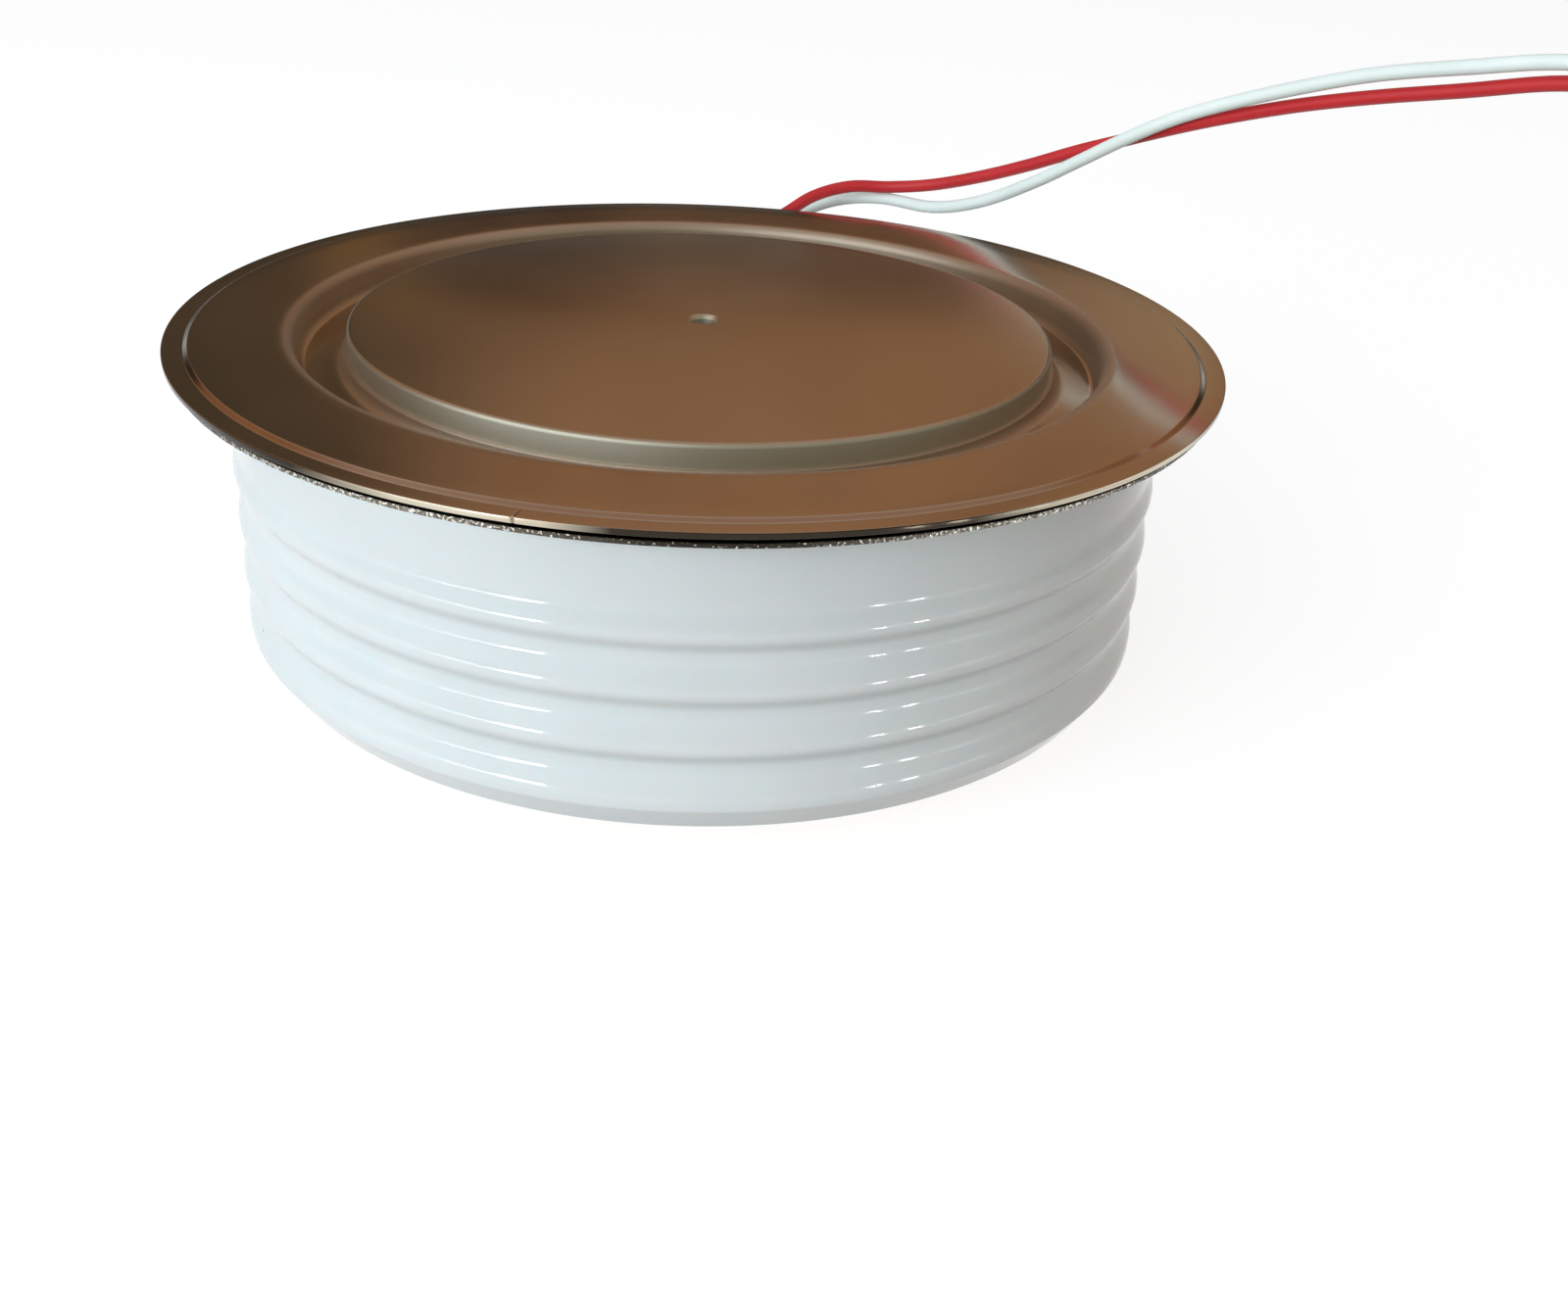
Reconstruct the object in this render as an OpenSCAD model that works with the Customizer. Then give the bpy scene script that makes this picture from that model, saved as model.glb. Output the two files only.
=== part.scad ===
// Disc thyristor in a capsule: two copper pole pieces press a silicon disc
// between molybdenum discs, inside a ribbed ceramic ring that is closed by
// thin brazed and welded flanges. Gate and cathode leads leave at the back.
// Millimetres, +Z up. The anode pole face stands on z = 0, with +Y at the back.

/* [Capsule] */
// Height over the two pole faces
height = 35; // [31:0.5:42]

/* [Pole pieces] */
// Diameter of both pole pieces
pole_d = 73; // [60:0.5:90]
// Radius of the rounded edge of each pole face
pole_edge_r = 0.5; // [0.2:0.1:1]
// Diameter of the centring hole in each pole face
centre_hole_d = 3; // [2.5:0.1:4.5]
// Bevel at the mouth of the centring holes
centre_hole_bevel = 0.25; // [0.1:0.05:0.5]
// Depth of the centring holes
centre_hole_depth = 3; // [2:0.1:3.6]
// Thickness of the anode pole piece
anode_pole_t = 13; // [11:0.5:14]

/* [Flanges] */
// Thickness of the flange sheet
sheet_t = 0.5; // [0.3:0.05:0.7]
// How far the flat annulus lies below the cathode pole face
annulus_drop = 0.25; // [0.1:0.05:0.6]
// How far the weld lip lies below the annulus
lip_drop = 0.35; // [0.2:0.05:0.6]
// How far the weld lip stands out of the ceramic's plain band
rim_out = 6; // [5:0.1:8]
// Width of the weld lip
lip_w = 2; // [1.5:0.1:3]
// Width of the sloping step between the annulus and the lip
step_w = 0.5; // [0.3:0.1:0.8]
// Width of the groove round the cathode pole piece
groove_w = 5.2; // [4.4:0.1:5.6]
// Depth of that groove below the annulus
groove_depth = 3.4; // [2.8:0.1:3.8]
// Radius of the bends in the groove's floor
bend_r = 1; // [0.6:0.1:1.2]
// Outer radius of the shoulder where the annulus starts
shoulder_r = 1; // [0.8:0.1:1.4]
// Height of the brazed collar over the groove's floor
collar_h = 1.3; // [1.2:0.1:1.8]
// Thickness of the weld ring at its edge
ring_t = 0.85; // [0.6:0.05:1.2]
// Height of the open seam between the weld lip and the weld ring
seam_h = 0.25; // [0.1:0.05:0.4]
// Depth of that seam, from the weld ring's edge
seam_w = 0.8; // [0.4:0.1:1.2]
// How far the weld ring's edge lies inside the weld lip's
ring_setback = 0.3; // [0.1:0.1:0.6]
// Height of the anode flange over the anode pole face
foot_gap = 2.1; // [1.5:0.1:3]
// How far the anode flange's edge lies inside the ceramic's lower edge
anode_flange_inset = 0.9; // [0.5:0.1:1.5]

/* [Ceramic ring] */
// Wall of the ceramic ring at its plain band
ceramic_wall = 5; // [4:0.1:7]
// Clearance between the cathode flange's groove and the ceramic's bore
ceramic_clear = 0.8; // [0.4:0.1:1.5]
// How far the ribs stand out of the plain band
rib_out = 0.6; // [0.2:0.1:1]
// Depth of the valleys between the ribs
rib_depth = 1; // [0.4:0.1:1.8]
// Distance from one rib's crest to the next
rib_pitch = 5.5; // [5:0.1:6]
// Number of ribs
rib_count = 4; // [3:1:4]
// Height of the undercut below a rib's crest
undercut_h = 1.5; // [1:0.1:2.2]
// Height over which the plain band runs out to the top rib
flare_h = 2.9; // [1.5:0.1:3.5]
// Height of the lowest crest above the ceramic's lower end
foot_h = 2.7; // [1.5:0.1:3.5]
// How far the ceramic's lower edge draws in from the lowest crest
foot_in = 1.7; // [0.8:0.1:2.4]
// Bevel on the ceramic's upper edge
ceramic_bevel = 0.5; // [0.2:0.1:1]

/* [Disc stack] */
// How far the silicon and the anode disc stand out of the pole pieces
wafer_out = 2; // [1.2:0.1:3]
// Thickness of the anode disc
anode_disc_t = 2.5; // [1.5:0.1:3]
// Thickness of the silicon
wafer_t = 1; // [0.6:0.1:1.4]
// Width of the bevel on the silicon's edge
wafer_bevel = 1.2; // [0.6:0.1:2]
// How far the cathode disc's edge lies inside the pole pieces
cathode_disc_in = 3.5; // [2.5:0.1:6]
// Thickness of the cathode disc
cathode_disc_t = 2; // [1:0.1:2.5]
// Height of the rubber bead over the silicon's face
bead_h = 0.8; // [0.4:0.1:1.2]
// Width of the rubber bead over the silicon's face
bead_w = 1; // [0.5:0.1:1.4]
// Height of the locating ring above and below the anode disc's lower face
locating_h = 3.5; // [2.5:0.1:4.5]

/* [Gate contact] */
// Diameter of the bore for the gate contact
gate_bore_d = 9; // [8:0.1:11]
// Diameter of the gate pin
pin_d = 3; // [2:0.1:4]
// Diameter of the gate pin's head
pin_head_d = 6; // [5:0.1:7]
// Thickness of the gate pin's head
pin_head_t = 1.2; // [1.1:0.1:1.4]
// Travel of the gate pin above its guide
pin_travel = 1; // [0.5:0.1:1.5]
// Height of the gate spring as fitted
spring_h = 2.4; // [2:0.1:3]
// Diameter of the gate spring's wire
spring_wire_d = 0.5; // [0.3:0.05:0.6]
// Thickness of the insulating cap over the spring
cap_t = 0.4; // [0.3:0.1:0.8]
// Diameter of the gate wire
gate_wire_d = 1; // [0.6:0.1:1]
// Wall of the insulating sleeve on the gate wire
wire_sleeve_t = 0.4; // [0.2:0.1:0.4]
// Width of the slot for the gate wire
slot_w = 3; // [2.2:0.1:4]

/* [Gate tube and cathode tab] */
// Depth of the gate tube's axis below the ceramic's upper end
gate_drop = 6.5; // [6:0.1:7]
// Outside diameter of the gate tube
gate_tube_d = 3; // [2.4:0.1:3.6]
// Bore of the gate tube
gate_tube_bore_d = 1.8; // [1.2:0.1:2]
// Length of the tube's crimped outer end
gate_crimp_l = 2; // [1:0.1:3]
// How far the gate tube stands into the capsule
gate_tube_in = 2.5; // [1:0.1:3]
// How far the gate tube stands out of the plain band
gate_tube_out = 4; // [3:0.1:5]
// Diameter of the brazed collar on the gate tube
tube_collar_d = 5.2; // [4.6:0.1:6]
// Thickness of that collar
tube_collar_t = 0.9; // [0.6:0.1:1.2]
// Depth of the flat that the collar sits on
spot_depth = 0.5; // [0.4:0.1:1]
// Angle of the cathode tab from +Y, clockwise from above
tab_angle = -14; // [-30:1:-12]
// Thickness of the cathode tab
tab_t = 0.6; // [0.4:0.1:0.8]
// Width of the cathode tab
tab_w = 5; // [4:0.1:6]
// Diameter of the barrels that are crimped on the leads
barrel_d = 2.6; // [2.2:0.1:2.8]
// Length of the barrel on the cathode tab
tab_barrel_l = 8; // [7:0.5:10]

/* [Leads] */
// Diameter of both leads
lead_d = 1.6; // [1.2:0.1:1.8]
// Wall of the shrunk sleeves
lead_sleeve_t = 0.4; // [0.3:0.1:0.4]
// Length of the sleeves past the metal that they cover
lead_sleeve_l = 4.3; // [3:0.1:4.4]
// Length of the metal that the sleeves cover
lead_sleeve_over = 2.4; // [1.5:0.1:2.6]
// Diameter of the eye of the ring terminals
eye_d = 7.2; // [6.4:0.1:8]
// Diameter of the hole in the eye
eye_hole_d = 4.3; // [3.2:0.1:5.3]
// Thickness of the terminals' tongue
tongue_t = 0.8; // [0.6:0.1:1]
// Width of the terminals' neck
neck_w = 2.6; // [2:0.1:3]
// Length of the terminals' barrel
terminal_barrel_l = 5; // [4:0.1:6]
// Distance from a terminal's mouth to the middle of its eye
terminal_l = 10.5; // [9.8:0.1:13]

/* [Hidden] */
$fn = 96;
// Clearance of pieces that are slipped into each other
slip = 0.1;
// Clearance round a lead in its barrel or sleeve
lead_fit = 0.05;
// Length that a cut runs past the face it opens
past = 1;
// How far a barrel is sunk in the strip that it is rolled from
rolled_in = 0.1;
// Length of a lead that runs on straight past its sleeve
sleeve_clear = 0.7;

pole_r = pole_d / 2;
wall_r = pole_r + groove_w;
ceramic_bore_r = wall_r + sheet_t + ceramic_clear;
band_r = ceramic_bore_r + ceramic_wall;
flange_r = band_r + rim_out;
annulus_z = height - annulus_drop;
lip_z = annulus_z - lip_drop;
floor_z = annulus_z - groove_depth;
step_r = flange_r - lip_w - step_w;
ring_top = lip_z - sheet_t;
ring_bottom = ring_top - seam_h - ring_t;
ring_r = flange_r - ring_setback;

ceramic_top = ring_bottom;
ceramic_bottom = foot_gap + sheet_t;
crest_r = band_r + rib_out;
first_crest_z = ceramic_bottom + foot_h;
last_crest_z = first_crest_z + (rib_count - 1) * rib_pitch;
foot_r = crest_r - foot_in;

anode_disc_top = anode_pole_t + anode_disc_t;
wafer_top = anode_disc_top + wafer_t;
cathode_base = wafer_top + cathode_disc_t;
wafer_r = pole_r + wafer_out;

gate_z = ceramic_top - gate_drop;
pin_head_z = gate_z - pin_head_t / 2;
spring_z = gate_z + pin_head_t / 2;
gate_bore_top = spring_z + spring_h + cap_t;
guide_top = pin_head_z - pin_travel;
spring_r = pin_head_d / 2 - spring_wire_d;
spring_turns = 3;
wire_hole_depth = (pin_head_d - pin_d) / 2;
gate_tube_end = band_r + gate_tube_out;

lead_r = lead_d / 2;
lead_bore_r = lead_r + lead_fit;
barrel_r = barrel_d / 2;
tab_barrel_r = flange_r - 2 * barrel_r;
tab_barrel_z = ring_bottom - tab_t - barrel_r + rolled_in;
// The cathode barrel runs along the rim, from behind the tab to past it
tab_barrel_start = -tab_w / 2;
tab_barrel_end = tab_barrel_start + tab_barrel_l;

// Where the leads start, and the straight run through their sleeves
gate_exit = [0, gate_tube_end, gate_z];
gate_straight = gate_exit + [0, lead_sleeve_l + sleeve_clear, 0];
function along_rim(s) = [
    tab_barrel_r * sin(tab_angle) + s * cos(tab_angle),
    tab_barrel_r * cos(tab_angle) - s * sin(tab_angle),
    tab_barrel_z
];
cathode_exit = along_rim(0);
cathode_straight = along_rim(tab_barrel_end + lead_sleeve_l + sleeve_clear);

// The leads' routes, measured from under the back of the rim: round it, up to the
// right in an arch, and down to the surface that the capsule stands on. They are
// drawn for a capsule of this height, and stretch with it
route_height = 35;
function laid(p) = [p[0], flange_r + p[1], p[2] * height / route_height];
gate_points = [
    [0.8, 6.2, 26.5], [3.2, 8.8, 27.2], [7, 10.2, 28.6], [12, 10.6, 31], [18, 9.4, 33.6],
    [24, 6.6, 34.8], [30.5, 0.6, 35.2], [36, -4.8, 37.4], [41.5, -9.6, 41], [46.5, -14, 45],
    [51, -17.8, 48.6], [55.5, -21.6, 51.8], [60, -25.8, 54.4], [66, -31.6, 57.4], [72.5, -38, 60.2],
    [79.5, -45.4, 62.4], [86, -52.4, 64.2], [92, -58.6, 64.2], [97, -63.8, 61], [100.2, -67, 55],
    [101.6, -68.6, 47], [102, -69.2, 38], [102.2, -69.6, 29], [102.6, -70.2, 20], [103.8, -71.6, 12],
    [106.4, -74.6, 5.6], [110, -79.4, 2], [112.6, -84.6, 1.1], [113.5, -90, 1.2]
];
cathode_points = [
    [5, 0.4, 31.2], [10, 2.2, 32.8], [14.5, 4.2, 35.2], [19.5, 5.6, 36.4], [25, 5.4, 36.6],
    [30.5, 3.2, 37.6], [36, -1.2, 39.8], [41.5, -6.2, 42.6], [46.8, -11, 45.6], [51.8, -15.8, 48.2],
    [56.4, -20.2, 50.6], [61, -24.6, 52.8], [67, -30.6, 55.4], [73, -36.8, 57.6], [80, -44, 59.8],
    [87, -51.2, 62], [92.6, -57.2, 62.2], [97.6, -62, 60], [101.4, -65.4, 55], [103.2, -67, 47.4],
    [104, -67.8, 38.4], [104.4, -68.2, 29], [105, -68.8, 20], [106.4, -70.4, 12], [109.6, -73.4, 5.6],
    [114.4, -77.6, 2.2], [119.4, -82.6, 1.1], [123.4, -88.2, 1.1], [125.4, -92, 1.2]
];
gate_mouth = [113.5, flange_r - 95, barrel_r];
cathode_mouth = [126, flange_r - 96, barrel_r];
lead_tail = [0, -4, 0];
lead_sides = 8;
lead_frame = [0.5, 0.5, 0.7];
spring_sides = 8;
spring_steps = 16;

// A ring of rectangular section about Z
module ring(r_in, r_out, z_low, z_high) {
    rotate_extrude() translate([r_in, z_low]) square([r_out - r_in, z_high - z_low]);
}

// A round solid about the gate's axis, along +Y at the gate's height
module along_gate(d, from, to) {
    translate([0, from, gate_z]) rotate([-90, 0, 0]) cylinder(d = d, h = to - from);
}

// A quarter of a bent sheet's section, about the middle of the bend
module bend(middle, r_in, t, turn) {
    translate(middle) rotate(turn) intersection() {
        difference() {
            circle(r_in + t);
            circle(r_in);
        }
        square(r_in + t);
    }
}

function unit(v) = v / norm(v);
function heading(path, i) = unit(path[min(i + 1, len(path) - 1)] - path[max(i - 1, 0)]);
function ring_points(path, i, r, sides, frame) =
    let (t = heading(path, i), n = unit(cross(t, frame)), b = cross(t, n))
    [for (k = [0:sides - 1]) path[i] + r * (cos(360 * k / sides) * n + sin(360 * k / sides) * b)];

// A round tube swept along a path of points
module swept(path, r, sides, frame) {
    last = len(path) - 1;
    polyhedron(
        points = [for (i = [0:last]) each ring_points(path, i, r, sides, frame)],
        faces = [
            [for (k = [0:sides - 1]) k],
            [for (k = [0:sides - 1]) last * sides + sides - 1 - k],
            for (i = [0:last - 1], k = [0:sides - 1]) [
                i * sides + k,
                (i + 1) * sides + k,
                (i + 1) * sides + (k + 1) % sides,
                i * sides + (k + 1) % sides
            ]
        ]
    );
}

// One pole's outline: a face with a rounded edge at height 0, and its thickness above it
module pole_blank(t) {
    rotate_extrude() {
        square([pole_r - pole_edge_r, pole_edge_r]);
        intersection() {
            translate([pole_r - pole_edge_r, pole_edge_r]) circle(pole_edge_r);
            translate([pole_r - pole_edge_r, 0]) square(pole_edge_r);
        }
        translate([0, pole_edge_r]) square([pole_r, t - pole_edge_r]);
    }
}

module centre_hole() {
    translate([0, 0, -past]) cylinder(d = centre_hole_d, h = centre_hole_depth + past);
    translate([0, 0, -past]) cylinder(
        d1 = centre_hole_d + 2 * (centre_hole_bevel + past),
        d2 = centre_hole_d,
        h = centre_hole_bevel + past
    );
}

// Copper, nickel plated, bored for the gate contact and slotted for its wire
module cathode_pole_piece() {
    color([0.66, 0.6, 0.54]) difference() {
        translate([0, 0, height]) mirror([0, 0, 1]) difference() {
            pole_blank(height - cathode_base);
            centre_hole();
        }
        translate([0, 0, cathode_base - past])
            cylinder(d = gate_bore_d, h = gate_bore_top - cathode_base + past);
        translate([-slot_w / 2, 0, cathode_base - past])
            cube([slot_w, pole_r + past, gate_z + slot_w / 2 - cathode_base + past]);
    }
}

module anode_pole_piece() {
    color([0.66, 0.6, 0.54]) difference() {
        pole_blank(anode_pole_t);
        centre_hole();
    }
}

// Pressed sheet: collar, groove, shoulder, flat annulus, step and weld lip
module cathode_flange() {
    color([0.7, 0.64, 0.57]) rotate_extrude() {
        translate([pole_r, floor_z + bend_r]) square([sheet_t, collar_h - bend_r]);
        bend([pole_r + sheet_t + bend_r, floor_z + bend_r], bend_r, sheet_t, 180);
        translate([pole_r + sheet_t + bend_r, floor_z - sheet_t])
            square([groove_w - sheet_t - 2 * bend_r, sheet_t]);
        bend([wall_r - bend_r, floor_z + bend_r], bend_r, sheet_t, 270);
        translate([wall_r, floor_z + bend_r]) square([sheet_t, groove_depth - bend_r - shoulder_r]);
        bend([wall_r + shoulder_r, annulus_z - shoulder_r], shoulder_r - sheet_t, sheet_t, 90);
        translate([wall_r + shoulder_r, annulus_z - sheet_t])
            square([step_r - wall_r - shoulder_r, sheet_t]);
        polygon([
            [step_r, annulus_z - sheet_t], [step_r + step_w, lip_z - sheet_t],
            [step_r + step_w, lip_z], [step_r, annulus_z]
        ]);
        translate([step_r + step_w, lip_z - sheet_t]) square([lip_w - sheet_t / 2, sheet_t]);
        translate([flange_r - sheet_t / 2, lip_z - sheet_t / 2]) circle(d = sheet_t);
    }
}

// Plated ring, brazed on the ceramic and welded to the lip inside the seam
module weld_ring() {
    color([0.55, 0.5, 0.44]) rotate_extrude() polygon([
        [ceramic_bore_r, ring_bottom], [ring_r, ring_bottom], [ring_r, ring_top - seam_h],
        [ring_r - seam_w, ring_top - seam_h], [ring_r - seam_w, ring_top],
        [flange_r - lip_w, ring_top], [flange_r - lip_w, ring_bottom + ring_t],
        [ceramic_bore_r, ring_bottom + ring_t]
    ]);
}

// A rib's section: its crest at u = 0 and 1, with the valley just below the next crest
valley_u = 1 - undercut_h / rib_pitch;
function rib_wave(u) =
    u < valley_u ? (1 + cos(180 * u / valley_u)) / 2
                 : (1 - cos(180 * (u - valley_u) / (1 - valley_u))) / 2;
rib_steps = 14;
function rib_points(z) = [
    for (i = [0:rib_steps - 1])
        [crest_r - rib_depth * (1 - rib_wave(i / rib_steps)), z + rib_pitch * i / rib_steps]
];
flare_steps = 6;

// Glazed alumina: a plain band over ribs, with a drawn-in foot
module ceramic_ring() {
    outside = [
        [foot_r, ceramic_bottom],
        each [for (i = [0:rib_count - 2]) each rib_points(first_crest_z + i * rib_pitch)],
        each [
            for (i = [0:flare_steps])
                [band_r + rib_out * (1 + cos(180 * i / flare_steps)) / 2,
                 last_crest_z + flare_h * i / flare_steps]
        ],
        [band_r, ceramic_top - ceramic_bevel],
        [band_r - ceramic_bevel, ceramic_top]
    ];
    color([0.86, 0.9, 0.9]) difference() {
        rotate_extrude() polygon([
            [ceramic_bore_r, ceramic_top], [ceramic_bore_r, ceramic_bottom], each outside
        ]);
        along_gate(gate_tube_d, 0, band_r + past);
        along_gate(tube_collar_d, band_r - spot_depth, crest_r + past);
    }
}

// Thin ring between the anode pole piece and the ceramic's lower end
module anode_flange() {
    color([0.7, 0.64, 0.57]) rotate_extrude() {
        translate([pole_r, ceramic_bottom + bend_r]) square([sheet_t, collar_h - bend_r]);
        bend([pole_r + sheet_t + bend_r, ceramic_bottom + bend_r], bend_r, sheet_t, 180);
        translate([pole_r + sheet_t + bend_r, foot_gap])
            square([foot_r - anode_flange_inset - pole_r - sheet_t - bend_r, sheet_t]);
    }
}

module anode_disc() {
    color([0.5, 0.5, 0.52]) ring(0, wafer_r, anode_pole_t, anode_disc_top);
}

module silicon_wafer() {
    color([0.3, 0.31, 0.36]) translate([0, 0, anode_disc_top])
        cylinder(r1 = wafer_r, r2 = wafer_r - wafer_bevel, h = wafer_t);
}

module cathode_disc() {
    color([0.5, 0.5, 0.52]) ring(gate_bore_d / 2, pole_r - cathode_disc_in, wafer_top, cathode_base);
}

// Silicone rubber cast on the silicon's bevel
module edge_bead() {
    bevelled_r = wafer_r - wafer_bevel;
    color([0.75, 0.35, 0.25]) rotate_extrude() polygon([
        [bevelled_r - bead_w, wafer_top], [bevelled_r, wafer_top], [wafer_r, anode_disc_top],
        [wafer_r, wafer_top], [bevelled_r, wafer_top + bead_h], [bevelled_r - bead_w, wafer_top + bead_h]
    ]);
}

// Plastic ring between the discs and the ceramic, hooked under the anode disc
module locating_ring() {
    color([0.92, 0.92, 0.88]) rotate_extrude() polygon([
        [pole_r + slip, anode_pole_t - locating_h], [ceramic_bore_r - slip, anode_pole_t - locating_h],
        [ceramic_bore_r - slip, anode_pole_t + locating_h], [wafer_r + slip, anode_pole_t + locating_h],
        [wafer_r + slip, anode_pole_t], [pole_r + slip, anode_pole_t]
    ]);
}

module gate_pin() {
    color([0.8, 0.8, 0.82]) difference() {
        union() {
            translate([0, 0, wafer_top]) cylinder(d = pin_d, h = pin_head_z - wafer_top);
            translate([0, 0, pin_head_z]) cylinder(d = pin_head_d, h = pin_head_t);
        }
        along_gate(gate_wire_d, pin_head_d / 2 - wire_hole_depth, pin_head_d / 2 + past);
    }
}

module gate_guide() {
    color([0.95, 0.95, 0.92]) ring(pin_d / 2 + slip, gate_bore_d / 2 - slip, wafer_top + slip, guide_top);
}

// Coil spring between the pin's head and the insulating cap
module gate_spring() {
    rise = spring_h - spring_wire_d;
    turn_points = [
        for (i = [0:spring_turns * spring_steps])
            let (turned = 360 * i / spring_steps)
            [spring_r * cos(turned), spring_r * sin(turned),
             spring_z + spring_wire_d / 2 + rise * i / (spring_turns * spring_steps)]
    ];
    color([0.6, 0.6, 0.62]) swept(turn_points, spring_wire_d / 2, spring_sides, [0, 0, 1]);
}

module spring_cap() {
    color([0.95, 0.95, 0.92]) ring(0, gate_bore_d / 2 - slip, gate_bore_top - cap_t, gate_bore_top);
}

module gate_wire() {
    color([0.78, 0.76, 0.72])
        along_gate(gate_wire_d, pin_head_d / 2 - wire_hole_depth, gate_tube_end);
}

module wire_sleeve() {
    color([0.95, 0.95, 0.92]) difference() {
        along_gate(gate_wire_d + 2 * wire_sleeve_t, pin_head_d / 2 + slip, ceramic_bore_r - gate_tube_in);
        along_gate(gate_wire_d, 0, ceramic_bore_r);
    }
}

// Tube brazed through the ceramic, crimped on the gate wire at its outer end
module gate_tube() {
    color([0.7, 0.64, 0.57]) difference() {
        along_gate(gate_tube_d, ceramic_bore_r - gate_tube_in, gate_tube_end);
        along_gate(gate_tube_bore_d, 0, gate_tube_end - gate_crimp_l);
        along_gate(gate_wire_d, 0, gate_tube_end + past);
    }
}

module tube_collar() {
    color([0.7, 0.64, 0.57]) difference() {
        along_gate(tube_collar_d, band_r - spot_depth, band_r - spot_depth + tube_collar_t);
        along_gate(gate_tube_d, 0, gate_tube_end);
    }
}

// Places children with +X along the rim at the cathode tab and +Y outwards
module at_tab() {
    rotate(-tab_angle) children();
}

// Strip welded under the weld ring, with its end rolled into a crimp barrel
module cathode_tab() {
    color([0.7, 0.64, 0.57]) at_tab() difference() {
        union() {
            translate([-tab_w / 2, tab_barrel_r - barrel_r, ring_bottom - tab_t])
                cube([tab_w, 2 * barrel_r, tab_t]);
            translate([tab_barrel_start, tab_barrel_r, tab_barrel_z]) rotate([0, 90, 0])
                cylinder(r = barrel_r, h = tab_barrel_l);
        }
        translate([tab_barrel_start - past, tab_barrel_r, tab_barrel_z]) rotate([0, 90, 0])
            cylinder(r = lead_bore_r, h = tab_barrel_l + 2 * past);
    }
}

// A shrunk sleeve along +Z: over metal of radius r below 0, tapered on the lead above 0
module lead_sleeve(r) {
    rotate_extrude() polygon([
        [r, -lead_sleeve_over], [r + lead_sleeve_t, -lead_sleeve_over], [r + lead_sleeve_t, 0],
        [lead_bore_r + lead_sleeve_t, lead_sleeve_l], [lead_bore_r, lead_sleeve_l],
        [lead_bore_r, 0], [r, 0]
    ]);
}

module gate_lead_sleeve() {
    color([0.93, 0.92, 0.88]) translate(gate_exit) rotate([-90, 0, 0]) lead_sleeve(gate_tube_d / 2);
}

module cathode_lead_sleeve() {
    color([0.7, 0.1, 0.08]) at_tab() translate([tab_barrel_end, tab_barrel_r, tab_barrel_z])
        rotate([0, 90, 0]) lead_sleeve(barrel_r);
}

module gate_lead() {
    route = [
        gate_exit, gate_straight, each [for (p = gate_points) laid(p)],
        gate_mouth, gate_mouth + lead_tail
    ];
    color([0.93, 0.92, 0.88]) swept(route, lead_r, lead_sides, lead_frame);
}

module cathode_lead() {
    route = [
        cathode_exit, cathode_straight, each [for (p = cathode_points) laid(p)],
        cathode_mouth, cathode_mouth + lead_tail
    ];
    color([0.75, 0.1, 0.08]) swept(route, lead_r, lead_sides, lead_frame);
}

// Crimped ring terminal lying flat, its barrel's mouth at the origin and its eye along -Y
module ring_terminal() {
    difference() {
        union() {
            rotate([90, 0, 0]) cylinder(r = barrel_r, h = terminal_barrel_l);
            translate([-neck_w / 2, -terminal_l, -barrel_r])
                cube([neck_w, terminal_l - terminal_barrel_l + past, tongue_t]);
            translate([0, -terminal_l, -barrel_r]) cylinder(d = eye_d, h = tongue_t);
        }
        translate([0, past, 0]) rotate([90, 0, 0])
            cylinder(r = lead_bore_r, h = terminal_barrel_l + 2 * past);
        translate([0, -terminal_l, -barrel_r - past]) cylinder(d = eye_hole_d, h = tongue_t + 2 * past);
    }
}

module gate_terminal() {
    color([0.8, 0.8, 0.8]) translate(gate_mouth) ring_terminal();
}

module cathode_terminal() {
    color([0.8, 0.8, 0.8]) translate(cathode_mouth) ring_terminal();
}

cathode_pole_piece();
anode_pole_piece();
cathode_flange();
weld_ring();
ceramic_ring();
anode_flange();
anode_disc();
silicon_wafer();
cathode_disc();
edge_bead();
locating_ring();
gate_pin();
gate_guide();
gate_spring();
spring_cap();
gate_wire();
wire_sleeve();
gate_tube();
tube_collar();
cathode_tab();
gate_lead_sleeve();
cathode_lead_sleeve();
gate_lead();
cathode_lead();
gate_terminal();
cathode_terminal();
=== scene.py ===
import math

import bmesh
import bpy
from mathutils import Matrix, Vector, noise


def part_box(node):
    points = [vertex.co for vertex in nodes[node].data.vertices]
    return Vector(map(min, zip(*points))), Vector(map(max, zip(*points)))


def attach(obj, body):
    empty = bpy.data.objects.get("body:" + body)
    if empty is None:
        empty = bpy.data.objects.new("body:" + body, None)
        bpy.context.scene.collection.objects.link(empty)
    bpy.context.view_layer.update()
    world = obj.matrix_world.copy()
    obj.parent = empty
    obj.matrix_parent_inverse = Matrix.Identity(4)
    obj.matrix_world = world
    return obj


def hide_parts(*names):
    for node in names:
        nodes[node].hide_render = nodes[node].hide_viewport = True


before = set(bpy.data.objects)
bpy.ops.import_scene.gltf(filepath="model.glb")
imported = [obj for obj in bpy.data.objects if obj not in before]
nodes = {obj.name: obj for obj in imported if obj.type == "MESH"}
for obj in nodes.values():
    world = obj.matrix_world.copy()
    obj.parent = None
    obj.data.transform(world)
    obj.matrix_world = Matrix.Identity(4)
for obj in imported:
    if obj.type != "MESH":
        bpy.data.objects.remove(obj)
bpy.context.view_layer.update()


# Anode pole piece: the lower of the two copper poles, turned on a lathe and nickel
# plated, with a centring hole in its face. The capsule stands on it.
MM = 0.001
POLE_R = 36.5
POLE_EDGE_R = 0.5
POLE_SEGMENTS = 720
HOLE_R = 1.35
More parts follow.
